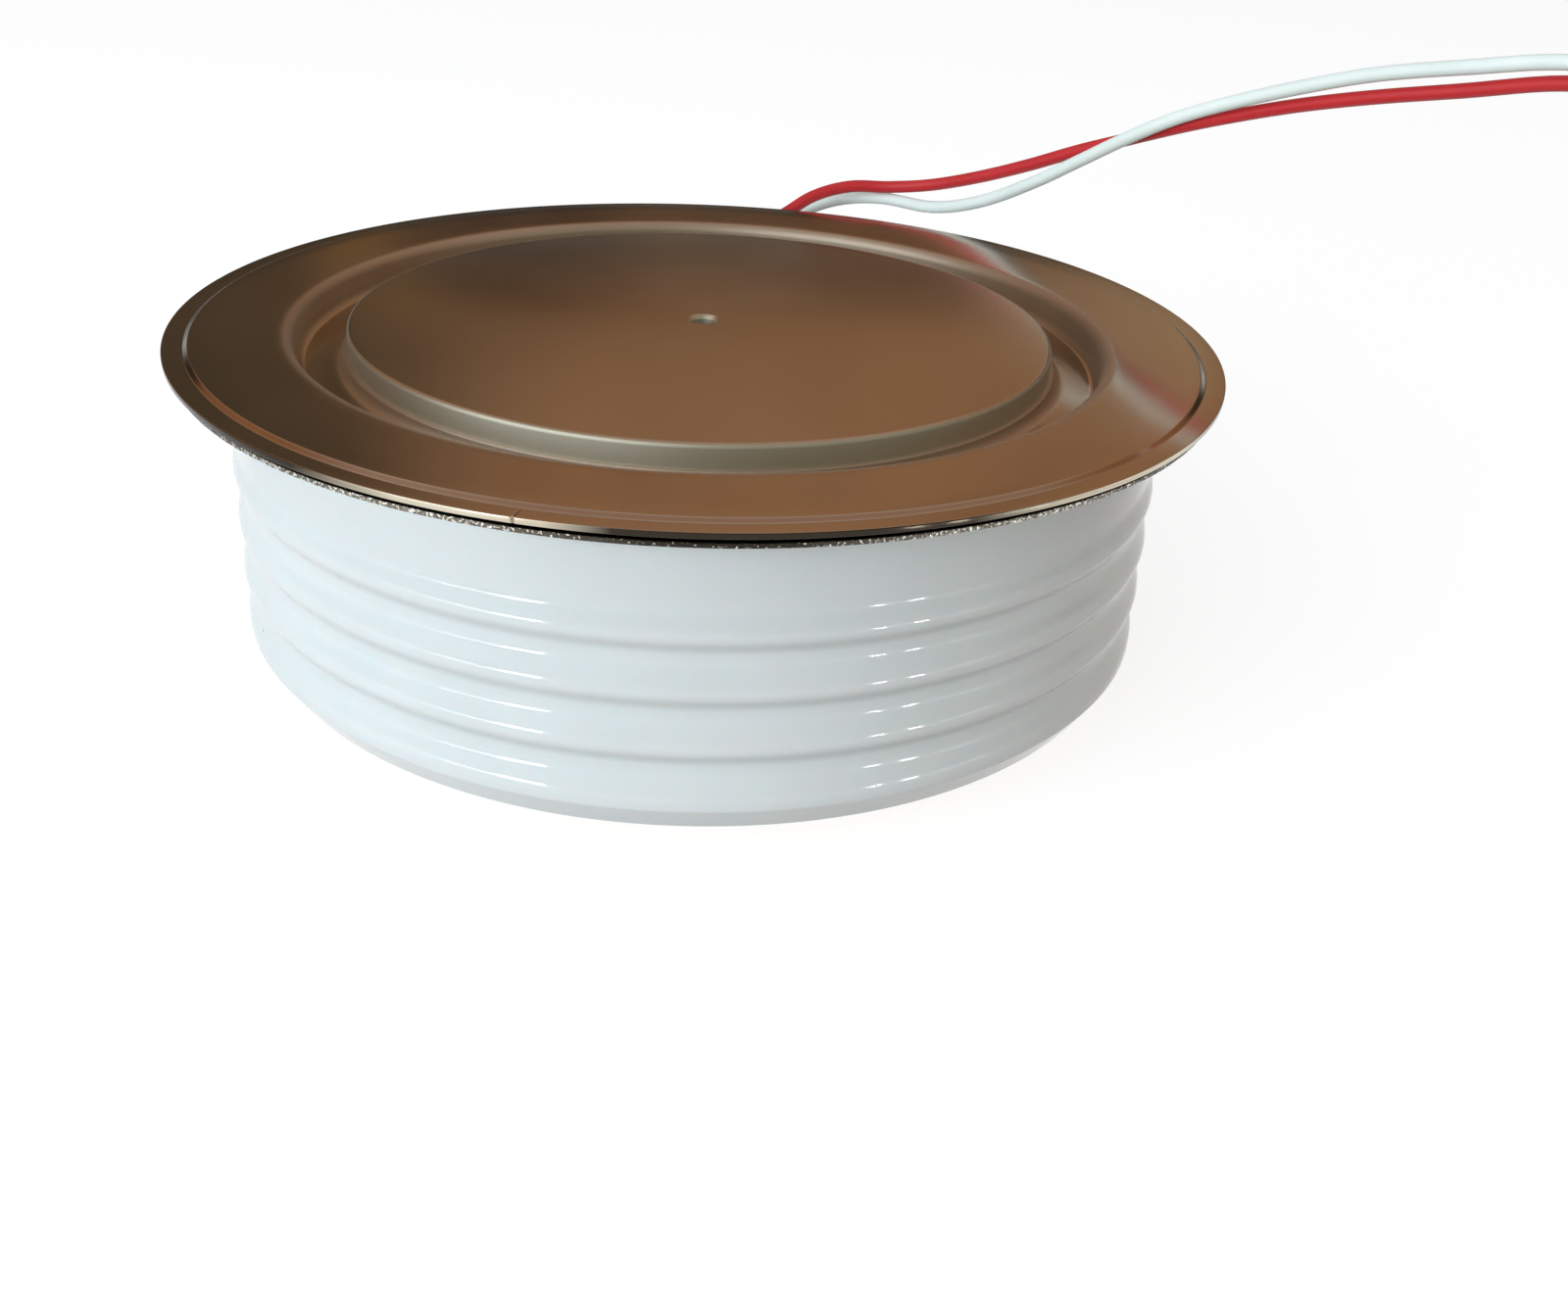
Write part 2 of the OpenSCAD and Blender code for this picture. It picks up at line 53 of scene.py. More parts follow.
HOLE_BEVEL = 0.4
HOLE_DEPTH = 3.0
SHARP_EDGE = math.radians(38)
TOUCHING = 1e-7


def mm(*sizes):
    """Sizes in millimetres as metres."""
    return [size * MM for size in sizes]


def linear(code):
    """An sRGB hex colour as the linear one that a shader takes."""
    parts = [int(code[i:i + 2], 16) / 255 for i in (1, 3, 5)]
    return [c / 12.92 if c <= 0.04045 else ((c + 0.055) / 1.055) ** 2.4 for c in parts] + [1.0]


def feed(tree, target, inputs):
    """Sets or links a node's sockets, given by name or number, or as a list in their order."""
    for key, value in inputs.items() if isinstance(inputs, dict) else enumerate(inputs):
        if isinstance(value, bpy.types.NodeSocket):
            tree.links.new(value, target.inputs[key])
        else:
            target.inputs[key].default_value = value


def add(tree, kind, inputs=(), out=0, **settings):
    """Adds one node with its settings and links, and gives one of its outputs."""
    made = tree.nodes.new(kind)
    for key, value in settings.items():
        setattr(made, key, value)
    feed(tree, made, inputs)
    return made.outputs[out] if made.outputs else None


def finish(name, values):
    """A material with one Principled shader, and the place on the piece that its patterns read."""
    made = bpy.data.materials.new(name)
    made.use_nodes = True
    tree = made.node_tree
    shader = tree.nodes["Principled BSDF"]
    feed(tree, shader, values)
    return made, tree, shader, add(tree, "ShaderNodeTexCoord", out="Object")


# A mix node has several sockets of the same name, so they go by number: its share, the
# two colours or the two numbers that it goes between, and the settings of a colour mix
SHARE, COLOUR_A, COLOUR_B, NUMBER_A, NUMBER_B = 0, 6, 7, 2, 3
COLOURS = {"data_type": "RGBA", "out": 2}

# Nickel on faced copper: a satin, slightly warm metal, duller and grainy on the turned
# side and in the hole. The facing tool leaves rings about the axis, and handling a faint
# mottle. The tool feeds 0.1 mm a turn, drawn as 0.4 mm rings so that they show.
TURNED_LIGHT = "#CEC4B5"
TURNED_DARK = "#C8BFA9"
TURNED_SIDE = "#CDCDBE"
SIDE_ROUGH = 0.5
ring_pitch, mottle_size, turned_grain = mm(0.4, 11, 0.5)
ring_depth, turned_grain_depth = mm(0.03, 0.02)
side_start = mm(POLE_R - 0.3, POLE_R - 0.05)
bore_start = mm(HOLE_R + 0.45, HOLE_R + 0.15)
plated_copper, tree, shader, place = finish(
    "nickel_plated_copper", {"Metallic": 1.0, "Anisotropic": 0.5, "Anisotropic Rotation": 0.25})
flat = add(tree, "ShaderNodeVectorMath", [place, (1, 1, 0)], operation="MULTIPLY")
radius = add(tree, "ShaderNodeVectorMath", [flat], "Value", operation="LENGTH")
rings = add(tree, "ShaderNodeTexNoise", {"W": radius, "Scale": 1 / ring_pitch, "Detail": 2.0},
            noise_dimensions="1D")
mottle = add(tree, "ShaderNodeTexNoise",
             {"Vector": place, "Scale": 1 / mottle_size, "Detail": 4.0})
grain = add(tree, "ShaderNodeTexNoise",
            {"Vector": place, "Scale": 1 / turned_grain, "Detail": 2.0})
faced = add(tree, "ShaderNodeMix", {SHARE: mottle, COLOUR_A: linear(TURNED_DARK),
                                    COLOUR_B: linear(TURNED_LIGHT)}, **COLOURS)
outer = add(tree, "ShaderNodeMapRange", [radius, *side_start])
bored = add(tree, "ShaderNodeMapRange", [radius, *bore_start])
side = add(tree, "ShaderNodeMath", [outer, bored], operation="MAXIMUM")
colour = add(tree, "ShaderNodeMix", {SHARE: side, COLOUR_A: faced, COLOUR_B: linear(TURNED_SIDE)},
             **COLOURS)
face_rough = add(tree, "ShaderNodeMapRange", [mottle, 0.3, 0.7, 0.2, 0.22])
rough = add(tree, "ShaderNodeMix", {SHARE: side, NUMBER_A: face_rough, NUMBER_B: SIDE_ROUGH})
ringed = add(tree, "ShaderNodeBump", {"Strength": 0.05, "Distance": ring_depth, "Height": rings})
grainy = add(tree, "ShaderNodeMapRange", [side, 0, 1, 0.0, 0.35])
bumped = add(tree, "ShaderNodeBump", {"Strength": grainy, "Distance": turned_grain_depth,
                                      "Height": grain, "Normal": ringed})
around = add(tree, "ShaderNodeTangent", direction_type="RADIAL", axis="Z")
feed(tree, shader, {"Base Color": colour, "Roughness": rough, "Normal": bumped, "Tangent": around})


def bend(r, z, bend_r, start, stop, steps):
    """Points of a rounded corner about (r, z), between two angles in degrees."""
    turns = [math.radians(start + (stop - start) * i / steps) for i in range(steps + 1)]
    return [(r + bend_r * math.cos(t), z + bend_r * math.sin(t)) for t in turns]


def full_turn(segments):
    """Even turns about the axis, from the back round to the back."""
    return [2 * math.pi * i / segments - math.pi for i in range(segments)]


def revolved(name, section, turns, material, worked=None):
    """A closed section of radius and height points, in millimetres, set at each turn."""
    points, faces = [], []
    count, segments = len(section), len(turns)
    for turn in turns:
        for r, z in section:
            p = Vector((r * math.sin(turn), -r * math.cos(turn), z))
            points.append((worked(p) if worked else p) * MM)
    for i in range(segments):
        near, far = i * count, (i + 1) % segments * count
        for k in range(count):
            after = (k + 1) % count
            faces.append((near + k, far + k, far + after, near + after))
    mesh = bpy.data.meshes.new(name)
    mesh.from_pydata(points, [], faces)
    mesh.materials.append(material)
    merged = bmesh.new()
    merged.from_mesh(mesh)
    bmesh.ops.remove_doubles(merged, verts=merged.verts, dist=TOUCHING)
    merged.to_mesh(mesh)
    merged.free()
    return mesh


def piece(name, mesh, slot, *replaced):
    """A finished mesh as a piece: smooth but for its edges, and on the part's one body."""
    mesh.shade_smooth()
    mesh.set_sharp_from_angle(angle=SHARP_EDGE)
    made = bpy.data.objects.new(name, mesh)
    bpy.context.scene.collection.objects.link(made)
    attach(made, "root")
    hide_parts(*replaced)
    return made


def pole(name, face, inner, node):
    """A turned pole: its outer face at one height, with the hole, and its inner end's points."""
    inward = 1 if inner[0][1] > face else -1
    section = [
        (0, face + inward * HOLE_DEPTH), (HOLE_R, face + inward * HOLE_DEPTH),
        (HOLE_R, face + inward * HOLE_BEVEL), (HOLE_R + HOLE_BEVEL, face),
        *bend(POLE_R - POLE_EDGE_R, face + inward * POLE_EDGE_R, POLE_EDGE_R, -90 * inward, 0, 8),
        *inner,
    ]
    mesh = revolved(name, section if inward > 0 else section[::-1], full_turn(POLE_SEGMENTS),
                    plated_copper)
    return piece(name, mesh, "plated_pole", node)


anode_low, anode_high = (corner[2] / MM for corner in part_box("anode_pole_piece"))
pole("turned_anode_pole", anode_low, [(POLE_R, anode_high), (0, anode_high)], "anode_pole_piece")


# Ceramic ring: alumina, pressed and turned before firing, then glazed. A plain band
# stands over four ribs, each with a short undercut below its crest, and the foot
# draws in. It holds the two ends of the capsule apart.
BAND_R = 48.0
BORE_R = 43.0
CERAMIC_LOW = 2.6
CERAMIC_TOP = 32.8
RIBS = 4
RIB_PITCH = 5.5
FIRST_CREST = 5.75
ring_segments = 360
rib_rows = 176
glaze_sizes = {
    "Bore radius": BORE_R * MM,
    "Band radius": BAND_R * MM,
    "Crest radius": 48.6 * MM,
    "Foot radius": 46.9 * MM,
    "Low end": CERAMIC_LOW * MM,
    "Upper end": CERAMIC_TOP * MM,
    "Foot top": 5.2 * MM,
    "First crest": FIRST_CREST * MM,
    "Last crest": (FIRST_CREST + (RIBS - 1) * RIB_PITCH) * MM,
    "Rib pitch": RIB_PITCH * MM,
    "Rib depth": 0.9 * MM,
    "Ramp share": 3.1 / RIB_PITCH,
    "Valley share": 3.6 / RIB_PITCH,
    "Flare height": 2.5 * MM,
    "Edge rounding": 0.6 * MM,
}

# Glazed alumina: a cool white body under clear glass. The glaze pools a little, so
# its shine wavers, and it has a few pinholes and dark specks.
GLAZE_LIGHT = "#DEE5E6"
GLAZE_DARK = "#D4DCDE"
SPECK = "#6E6A66"
pool_size, waver_size, waver_depth, speck_gap = mm(14, 6, 0.25, 11)
glazed, tree, shader, place = finish(
    "glazed_alumina", {"IOR": 1.52, "Subsurface Weight": 0.3, "Subsurface Scale": 1.5 * MM})
pools = add(tree, "ShaderNodeTexNoise", {"Vector": place, "Scale": 1 / pool_size, "Detail": 2.0})
waver = add(tree, "ShaderNodeTexNoise", {"Vector": place, "Scale": 1 / waver_size, "Detail": 1.0})
specks = add(tree, "ShaderNodeTexVoronoi",
             {"Vector": place, "Scale": 1 / speck_gap, "Randomness": 1.0}, "Distance")
speck = add(tree, "ShaderNodeMapRange", [specks, 0.022, 0.014])
body = add(tree, "ShaderNodeMix", {SHARE: pools, COLOUR_A: linear(GLAZE_DARK),
                                   COLOUR_B: linear(GLAZE_LIGHT)}, **COLOURS)
colour = add(tree, "ShaderNodeMix", {SHARE: speck, COLOUR_A: body, COLOUR_B: linear(SPECK)},
             **COLOURS)
rough = add(tree, "ShaderNodeMapRange", [pools, 0.3, 0.7, 0.07, 0.11])
bumped = add(tree, "ShaderNodeBump", {"Strength": 0.16, "Distance": waver_depth, "Height": waver})
feed(tree, shader, {"Base Color": colour, "Roughness": rough, "Normal": bumped})

rib_tree = bpy.data.node_groups.new("ribbed_ring", "GeometryNodeTree")
size_sockets = {
    name: rib_tree.interface.new_socket(name, in_out="INPUT", socket_type="NodeSocketFloat")
    for name in glaze_sizes
}
finish_socket = rib_tree.interface.new_socket("Finish", in_out="INPUT",
                                              socket_type="NodeSocketMaterial")
rib_tree.interface.new_socket("Geometry", in_out="OUTPUT", socket_type="NodeSocketGeometry")
size = add(rib_tree, "NodeGroupInput").node.outputs

# The outside: a sheet whose width goes once round and whose height is the ring's
sheet = add(rib_tree, "GeometryNodeMeshGrid",
            [2 * math.pi, 1.0, ring_segments + 1, rib_rows + 1])
position = add(rib_tree, "GeometryNodeInputPosition")
spread = add(rib_tree, "ShaderNodeSeparateXYZ", [position]).node.outputs
share = add(rib_tree, "ShaderNodeMath", [spread["Y"], 0.5], operation="ADD")
height = add(rib_tree, "ShaderNodeMapRange", [share, 0, 1, size["Low end"], size["Upper end"]])

# Ribs: a long ramp from each crest up to a flat valley, and a short undercut to the next
above = add(rib_tree, "ShaderNodeMath", [height, size["First crest"]], operation="SUBTRACT")
ribs_up = add(rib_tree, "ShaderNodeMath", [above, size["Rib pitch"]], operation="DIVIDE")
rib_share = add(rib_tree, "ShaderNodeMath", [ribs_up], operation="FRACT")
ramp = add(rib_tree, "ShaderNodeMapRange", [rib_share, 0, size["Ramp share"]])
undercut = add(rib_tree, "ShaderNodeMapRange", [rib_share, size["Valley share"], 1])
phase = add(rib_tree, "ShaderNodeMath", [ramp, undercut], operation="ADD")
half_turns = add(rib_tree, "ShaderNodeMath", [phase, math.pi], operation="MULTIPLY")
wave = add(rib_tree, "ShaderNodeMath", [half_turns], operation="COSINE")
valley = add(rib_tree, "ShaderNodeMath", [size["Crest radius"], size["Rib depth"]],
             operation="SUBTRACT")
ribbed = add(rib_tree, "ShaderNodeMapRange", [wave, -1, 1, valley, size["Crest radius"]])

# The band's flare out to the top rib, and the drawn-in foot below the lowest
over = add(rib_tree, "ShaderNodeMath", [height, size["Last crest"]], operation="SUBTRACT")
flared = add(rib_tree, "ShaderNodeMapRange", [over, 0, size["Flare height"], 0, math.pi])
flare = add(rib_tree, "ShaderNodeMath", [flared], operation="COSINE")
banded = add(rib_tree, "ShaderNodeMapRange",
             [flare, -1, 1, size["Band radius"], size["Crest radius"]])
footed = add(rib_tree, "ShaderNodeMapRange", [height, size["Low end"], size["Foot top"],
                                              size["Foot radius"], size["Crest radius"]])
in_band = add(rib_tree, "ShaderNodeMath", [over, 0.0], operation="GREATER_THAN")
in_foot = add(rib_tree, "ShaderNodeMath", [above, 0.0], operation="LESS_THAN")
side = add(rib_tree, "ShaderNodeMix", {SHARE: in_band, NUMBER_A: ribbed, NUMBER_B: banded})
side = add(rib_tree, "ShaderNodeMix", {SHARE: in_foot, NUMBER_A: side, NUMBER_B: footed})

# The rounded upper edge: a quarter circle taken off the band's radius
rounding_low = add(rib_tree, "ShaderNodeMath", [size["Upper end"], size["Edge rounding"]],
                   operation="SUBTRACT")
edge = add(rib_tree, "ShaderNodeMapRange",
           [height, rounding_low, size["Upper end"], 0, math.pi / 2])
kept = add(rib_tree, "ShaderNodeMath", [edge], operation="COSINE")
lost = add(rib_tree, "ShaderNodeMath", [1.0, kept], operation="SUBTRACT")
taken = add(rib_tree, "ShaderNodeMath", [lost, size["Edge rounding"]], operation="MULTIPLY")
outside = add(rib_tree, "ShaderNodeMath", [side, taken], operation="SUBTRACT")
sine = add(rib_tree, "ShaderNodeMath", [spread["X"]], operation="SINE")
cosine = add(rib_tree, "ShaderNodeMath", [spread["X"]], operation="COSINE")


def wrapped(grid, ring_radius, ring_height):
    """A sheet rolled up about the axis to that radius and height."""
    x = add(rib_tree, "ShaderNodeMath", [ring_radius, cosine], operation="MULTIPLY")
    y = add(rib_tree, "ShaderNodeMath", [ring_radius, sine], operation="MULTIPLY")
    point = add(rib_tree, "ShaderNodeCombineXYZ", [x, y, ring_height])
    return add(rib_tree, "GeometryNodeSetPosition", {"Geometry": grid, "Position": point})


# The bore and the two flat ends: three strips from the foot's edge in, up and out again
lining = add(rib_tree, "GeometryNodeMeshGrid", [2 * math.pi, 1.0, ring_segments + 1, 4])
upper = add(rib_tree, "ShaderNodeMath", [share, 0.5], operation="GREATER_THAN")
off_middle = add(rib_tree, "ShaderNodeMath", [spread["Y"]], operation="ABSOLUTE")
at_edge = add(rib_tree, "ShaderNodeMath", [off_middle, 0.4], operation="GREATER_THAN")
top_edge = add(rib_tree, "ShaderNodeMath", [size["Band radius"], size["Edge rounding"]],
               operation="SUBTRACT")
outer_edge = add(rib_tree, "ShaderNodeMix",
                 {SHARE: upper, NUMBER_A: size["Foot radius"], NUMBER_B: top_edge})
lining_r = add(rib_tree, "ShaderNodeMix",
               {SHARE: at_edge, NUMBER_A: size["Bore radius"], NUMBER_B: outer_edge})
lining_z = add(rib_tree, "ShaderNodeMix",
               {SHARE: upper, NUMBER_A: size["Low end"], NUMBER_B: size["Upper end"]})

skin = wrapped(sheet, outside, height)
inner = add(rib_tree, "GeometryNodeFlipFaces", [wrapped(lining, lining_r, lining_z)])
both = add(rib_tree, "GeometryNodeJoinGeometry", [skin])
feed(rib_tree, both.node, [inner])
whole = add(rib_tree, "GeometryNodeMergeByDistance", {"Geometry": both, "Distance": 1e-6})
real = add(rib_tree, "GeometryNodeRealizeInstances", [whole])
dressed = add(rib_tree, "GeometryNodeSetMaterial", {"Geometry": real, "Material": size["Finish"]})
add(rib_tree, "NodeGroupOutput", [dressed])

blank = bpy.data.objects.new("ring_blank", bpy.data.meshes.new("ring_blank"))
bpy.context.scene.collection.objects.link(blank)
ribs = blank.modifiers.new("ribs", "NODES")
ribs.node_group = rib_tree
for name, socket in size_sockets.items():
    ribs[socket.identifier] = glaze_sizes[name]
ribs[finish_socket.identifier] = glazed
made = blank.evaluated_get(bpy.context.evaluated_depsgraph_get())
ring_mesh = bpy.data.meshes.new_from_object(made)
bpy.data.objects.remove(blank)
glazed_ring = piece("glazed_ring", ring_mesh, "glazed_alumina", "ceramic_ring")


# Anode flange: a thin ring of plated sheet, brazed between the anode pole piece and the
# ceramic's foot.
FLANGE_R = 54.0
STEP_R = 51.5
STEP_W = 0.5


def painted_highlight_stretches(tree, place, *stretches):
    """1 along the stretches of a rim, each four angles from the front, where a highlight is
    painted.
    """
    spot = add(tree, "ShaderNodeSeparateXYZ", [place]).node.outputs
    front = add(tree, "ShaderNodeMath", [spot["Y"], -1.0], operation="MULTIPLY")
    turn = add(tree, "ShaderNodeMath", [spot["X"], front], operation="ARCTAN2")
    most = None
    for stretch in stretches:
        a, b, c, d = (math.radians(angle) for angle in stretch)
        rising = add(tree, "ShaderNodeMapRange", [turn, a, b])
        falling = add(tree, "ShaderNodeMapRange", [turn, d, c])
        here = add(tree, "ShaderNodeMath", [rising, falling], operation="MULTIPLY")
        most = here if most is None else add(tree, "ShaderNodeMath", [most, here],
                                             operation="MAXIMUM")
    return most


# Nickel on pressed sheet: brighter and smoother than the poles, with fine spinning
# marks round the axis that draw its shine out into fans. The marks are a few
# hundredths of a millimetre apart, drawn as 0.25 mm. It is dull where it is brazed and
# where it was drawn over the groove's shoulder. Its rim edge is painted dark as shade,
# with painted highlights on stretches at the left and right, and the step's riser is
# painted darker and warmer, a painted shade that dims its highlight.
SHEET_LIGHT = "#D2C8B9"
SHEET_DARK = "#C2B6A5"
RISER_SHADE = "#BCA592"
RIM_EDGE_SHADE = "#3A342D"
RIM_HIGHLIGHT_PALE = "#E4DFD0"
RIM_HIGHLIGHT_WARM = "#BCAC90"
DULL_ROUGH = 0.5
RIM_HIGHLIGHT_STRETCHES = (-38, -26, -15.6, -15.5), (-15.3, -15.2, -13, -7), (24, 36, 52, 66)
mark_pitch, mark_depth, stain_size = mm(0.25, 0.02, 17)
rim_start = mm(FLANGE_R - 0.06, FLANGE_R - 0.02)
riser_start = mm(STEP_R + 0.08, STEP_R + 0.16)
riser_stop = mm(STEP_R + STEP_W - 0.02, STEP_R + STEP_W - 0.1)
braze_stop = mm(POLE_R + 1.7, POLE_R + 0.7)
shoulder_start = mm(41.0, 41.6)
shoulder_stop = mm(43.2, 42.4)
plated_sheet, tree, shader, place = finish(
    "nickel_plated_sheet", {"Metallic": 1.0, "Anisotropic": 0.6, "Anisotropic Rotation": 0.25})
flat = add(tree, "ShaderNodeVectorMath", [place, (1, 1, 0)], operation="MULTIPLY")
radius = add(tree, "ShaderNodeVectorMath", [flat], "Value", operation="LENGTH")
marks = add(tree, "ShaderNodeTexNoise", {"W": radius, "Scale": 1 / mark_pitch, "Detail": 3.0},
            noise_dimensions="1D")
stain = add(tree, "ShaderNodeTexNoise", {"Vector": place, "Scale": 1 / stain_size, "Detail": 4.0})
plated = add(tree, "ShaderNodeMix", {SHARE: stain, COLOUR_A: linear(SHEET_DARK),
                                     COLOUR_B: linear(SHEET_LIGHT)}, **COLOURS)
# Painted highlights on the rim edge, on stretches given by their angle from the front
highlight_mask = painted_highlight_stretches(tree, place, *RIM_HIGHLIGHT_STRETCHES)
rubbed_and_highlight = add(tree, "ShaderNodeMix", {SHARE: stain, COLOUR_A: linear(RIM_HIGHLIGHT_WARM),
                                     COLOUR_B: linear(RIM_HIGHLIGHT_PALE)}, **COLOURS)
# The rim edge: painted shade, with the painted highlights on their stretches
painted_rim_edge = add(tree, "ShaderNodeMix", {SHARE: highlight_mask, COLOUR_A: linear(RIM_EDGE_SHADE), COLOUR_B: rubbed_and_highlight},
          **COLOURS)
rim = add(tree, "ShaderNodeMapRange", [radius, *rim_start])
riser_in = add(tree, "ShaderNodeMapRange", [radius, *riser_start])
riser_out = add(tree, "ShaderNodeMapRange", [radius, *riser_stop])
riser = add(tree, "ShaderNodeMath", [riser_in, riser_out], operation="MULTIPLY")
# Painted shade on the step's riser: a darker, warmer tone that dims its highlight
stepped = add(tree, "ShaderNodeMix", {SHARE: riser, COLOUR_A: plated, COLOUR_B: linear(RISER_SHADE)},
              **COLOURS)
colour = add(tree, "ShaderNodeMix", {SHARE: rim, COLOUR_A: stepped, COLOUR_B: painted_rim_edge}, **COLOURS)
smooth = add(tree, "ShaderNodeMapRange", [stain, 0.3, 0.7, 0.14, 0.18])
brazed = add(tree, "ShaderNodeMapRange", [radius, *braze_stop])
drawn_in = add(tree, "ShaderNodeMapRange", [radius, *shoulder_start])
drawn_out = add(tree, "ShaderNodeMapRange", [radius, *shoulder_stop])
drawn = add(tree, "ShaderNodeMath", [drawn_in, drawn_out], operation="MULTIPLY")
dulled = add(tree, "ShaderNodeMath", [brazed, drawn], operation="MAXIMUM")
rough = add(tree, "ShaderNodeMix", {SHARE: dulled, NUMBER_A: smooth, NUMBER_B: DULL_ROUGH})
bumped = add(tree, "ShaderNodeBump", {"Strength": 0.06, "Distance": mark_depth, "Height": marks})
around = add(tree, "ShaderNodeTangent", direction_type="RADIAL", axis="Z")
feed(tree, shader, {"Base Color": colour, "Roughness": rough, "Normal": bumped, "Tangent": around})


def dress(material, *names):
    """Gives CAD nodes their finish in place of the plain one that they came with."""
    for name in names:
        nodes[name].data.materials.clear()
        nodes[name].data.materials.append(material)


dress(plated_sheet, "anode_flange")


# Weld ring: a plated ring brazed on the ceramic's upper end. Its edge is left rough
# from the plating, and the open seam above it is where the lip is welded on.
RING_R = 53.3
RING_LOW = CERAMIC_TOP
RING_SEGMENTS = 1440
LIP_W = 2.0
LIP_UNDER = 33.9
SEAM_H = 0.55
SEAM_W = 0.8
seam_z = LIP_UNDER - SEAM_H

# Nickel over a coarse edge: a dull dark metal with bright grains of about 0.3 mm. On
# stretches at the left and right, a lighter tone and closer grains are painted highlights.
# Inside the seam over it, black is painted as the shade in the gap.
EDGE_LIGHT = "#E8E6DE"
EDGE_DARK = "#35312B"
EDGE_HIGHLIGHT_TONE = "#6E685E"
SEAM_SHADE = "#14110D"
EDGE_HIGHLIGHT_STRETCHES = (-60, -45, -22, -4), (8, 22, 40, 60)
edge_grain, edge_grain_depth = mm(0.3, 0.18)
seam_shade_start = mm(seam_z - 0.11, seam_z - 0.05)
plated_edge, tree, shader, place = finish("nickel_over_cut_edge", {"Metallic": 1.0})
grains = add(tree, "ShaderNodeTexNoise", {"Vector": place, "Scale": 1 / edge_grain, "Detail": 3.0,
                                          "Roughness": 0.65})
# Painted highlights on the weld ring's edge: a lighter tone and closer grains on stretches by
# angle
highlight_mask = painted_highlight_stretches(tree, place, *EDGE_HIGHLIGHT_STRETCHES)
few = add(tree, "ShaderNodeMapRange", [highlight_mask, 0, 1, 0.61, 0.5])
full = add(tree, "ShaderNodeMath", [few, 0.09], operation="ADD")
pitted = add(tree, "ShaderNodeMapRange", [grains, few, full])
base = add(tree, "ShaderNodeMix", {SHARE: highlight_mask, COLOUR_A: linear(EDGE_DARK),
                                   COLOUR_B: linear(EDGE_HIGHLIGHT_TONE)}, **COLOURS)
grainy = add(tree, "ShaderNodeMix", {SHARE: pitted, COLOUR_A: base, COLOUR_B: linear(EDGE_LIGHT)},
             **COLOURS)
high = add(tree, "ShaderNodeSeparateXYZ", [place], "Z")
# Painted shade: the inside of the seam is black
seam_shade = add(tree, "ShaderNodeMapRange", [high, *seam_shade_start])
colour = add(tree, "ShaderNodeMix", {SHARE: seam_shade, COLOUR_A: grainy, COLOUR_B: linear(SEAM_SHADE)},
             **COLOURS)
rough = add(tree, "ShaderNodeMapRange", [grains, 0.3, 0.7, 0.42, 0.18])
bumped = add(tree, "ShaderNodeBump", {"Strength": 0.9, "Distance": edge_grain_depth,
                                      "Height": grains})
feed(tree, shader, {"Base Color": colour, "Roughness": rough, "Normal": bumped})

edge_r = 0.16
edge_rows = 0.22, 0.28, 0.34
under_row = RING_R - 3
ring_section = [
    (BORE_R, RING_LOW), (under_row, RING_LOW),
    *bend(RING_R - edge_r, RING_LOW + edge_r, edge_r, -90, 0, 4),
    *((RING_R, RING_LOW + row) for row in edge_rows),
    *bend(RING_R - edge_r, seam_z - edge_r, edge_r, 0, 90, 4),
    (RING_R - SEAM_W, seam_z), (RING_R - SEAM_W, LIP_UNDER), (FLANGE_R - LIP_W, LIP_UNDER),
    (FLANGE_R - LIP_W, seam_z), (BORE_R, seam_z),
]
grained_w = 0.3
coarse_push, coarse_scale = 0.05, 2.2
fine_push, fine_scale = 0.035, 5.5
lift = 0.4


def grained(p):
    """The weld ring's edge, pushed in and out by the grains of its plating."""
    out = math.hypot(p.x, p.y)
    if out < RING_R - grained_w:
        return p
    push = (coarse_push * noise.noise(p * coarse_scale)
            + fine_push * noise.noise(p * fine_scale))
    return Vector((p.x * (1 + push / out), p.y * (1 + push / out), p.z + lift * push))


ring_mesh = revolved("rough_weld_ring", ring_section, full_turn(RING_SEGMENTS), plated_edge,
                     grained)
piece("rough_weld_ring", ring_mesh, "plated_edge", "weld_ring")


# Gate tube and its collar: a plated tube brazed through the ceramic wall at the back,
# crimped shut on the gate wire.
dress(plated_sheet, "gate_tube", "tube_collar")


# Disc stack: molybdenum on each side of the silicon, whose bevelled edge is cast in
# silicone rubber, centred in the ceramic by a moulded ring.

def clouded(name, dark, light, patch, detail, values):
    """A finish whose colour drifts between two tones in patches, with the pattern of them."""
    made, tree, shader, place = finish(name, values)
    cloud = add(tree, "ShaderNodeTexNoise",
                {"Vector": place, "Scale": 1 / (patch * MM), "Detail": detail})
    tone = add(tree, "ShaderNodeMix", {SHARE: cloud, COLOUR_A: linear(dark),
                                       COLOUR_B: linear(light)}, **COLOURS)
    feed(tree, shader, {"Base Color": tone})
    return made, tree, shader, cloud


# Lapped molybdenum: a grey satin metal with a crossed lapping pattern of about 0.1 mm,
# drawn as 0.5 mm
lapped, tree, shader, lap = clouded("lapped_molybdenum", "#8A8C90", "#A6A8AB", 0.5, 2.0,
                                    {"Metallic": 1.0, "Roughness": 0.38})
lap_depth = 0.02 * MM
bumped = add(tree, "ShaderNodeBump", {"Strength": 0.2, "Distance": lap_depth, "Height": lap})
feed(tree, shader, {"Normal": bumped})
dress(lapped, "anode_disc", "cathode_disc")

# Silicon with an evaporated aluminium face: dark blue grey with a fine sparkle
silicon = clouded("metallised_silicon", "#4A4E5C", "#6A6E7A", 0.8, 2.0,
                  {"Metallic": 0.8, "Roughness": 0.25})[0]
dress(silicon, "silicon_wafer")

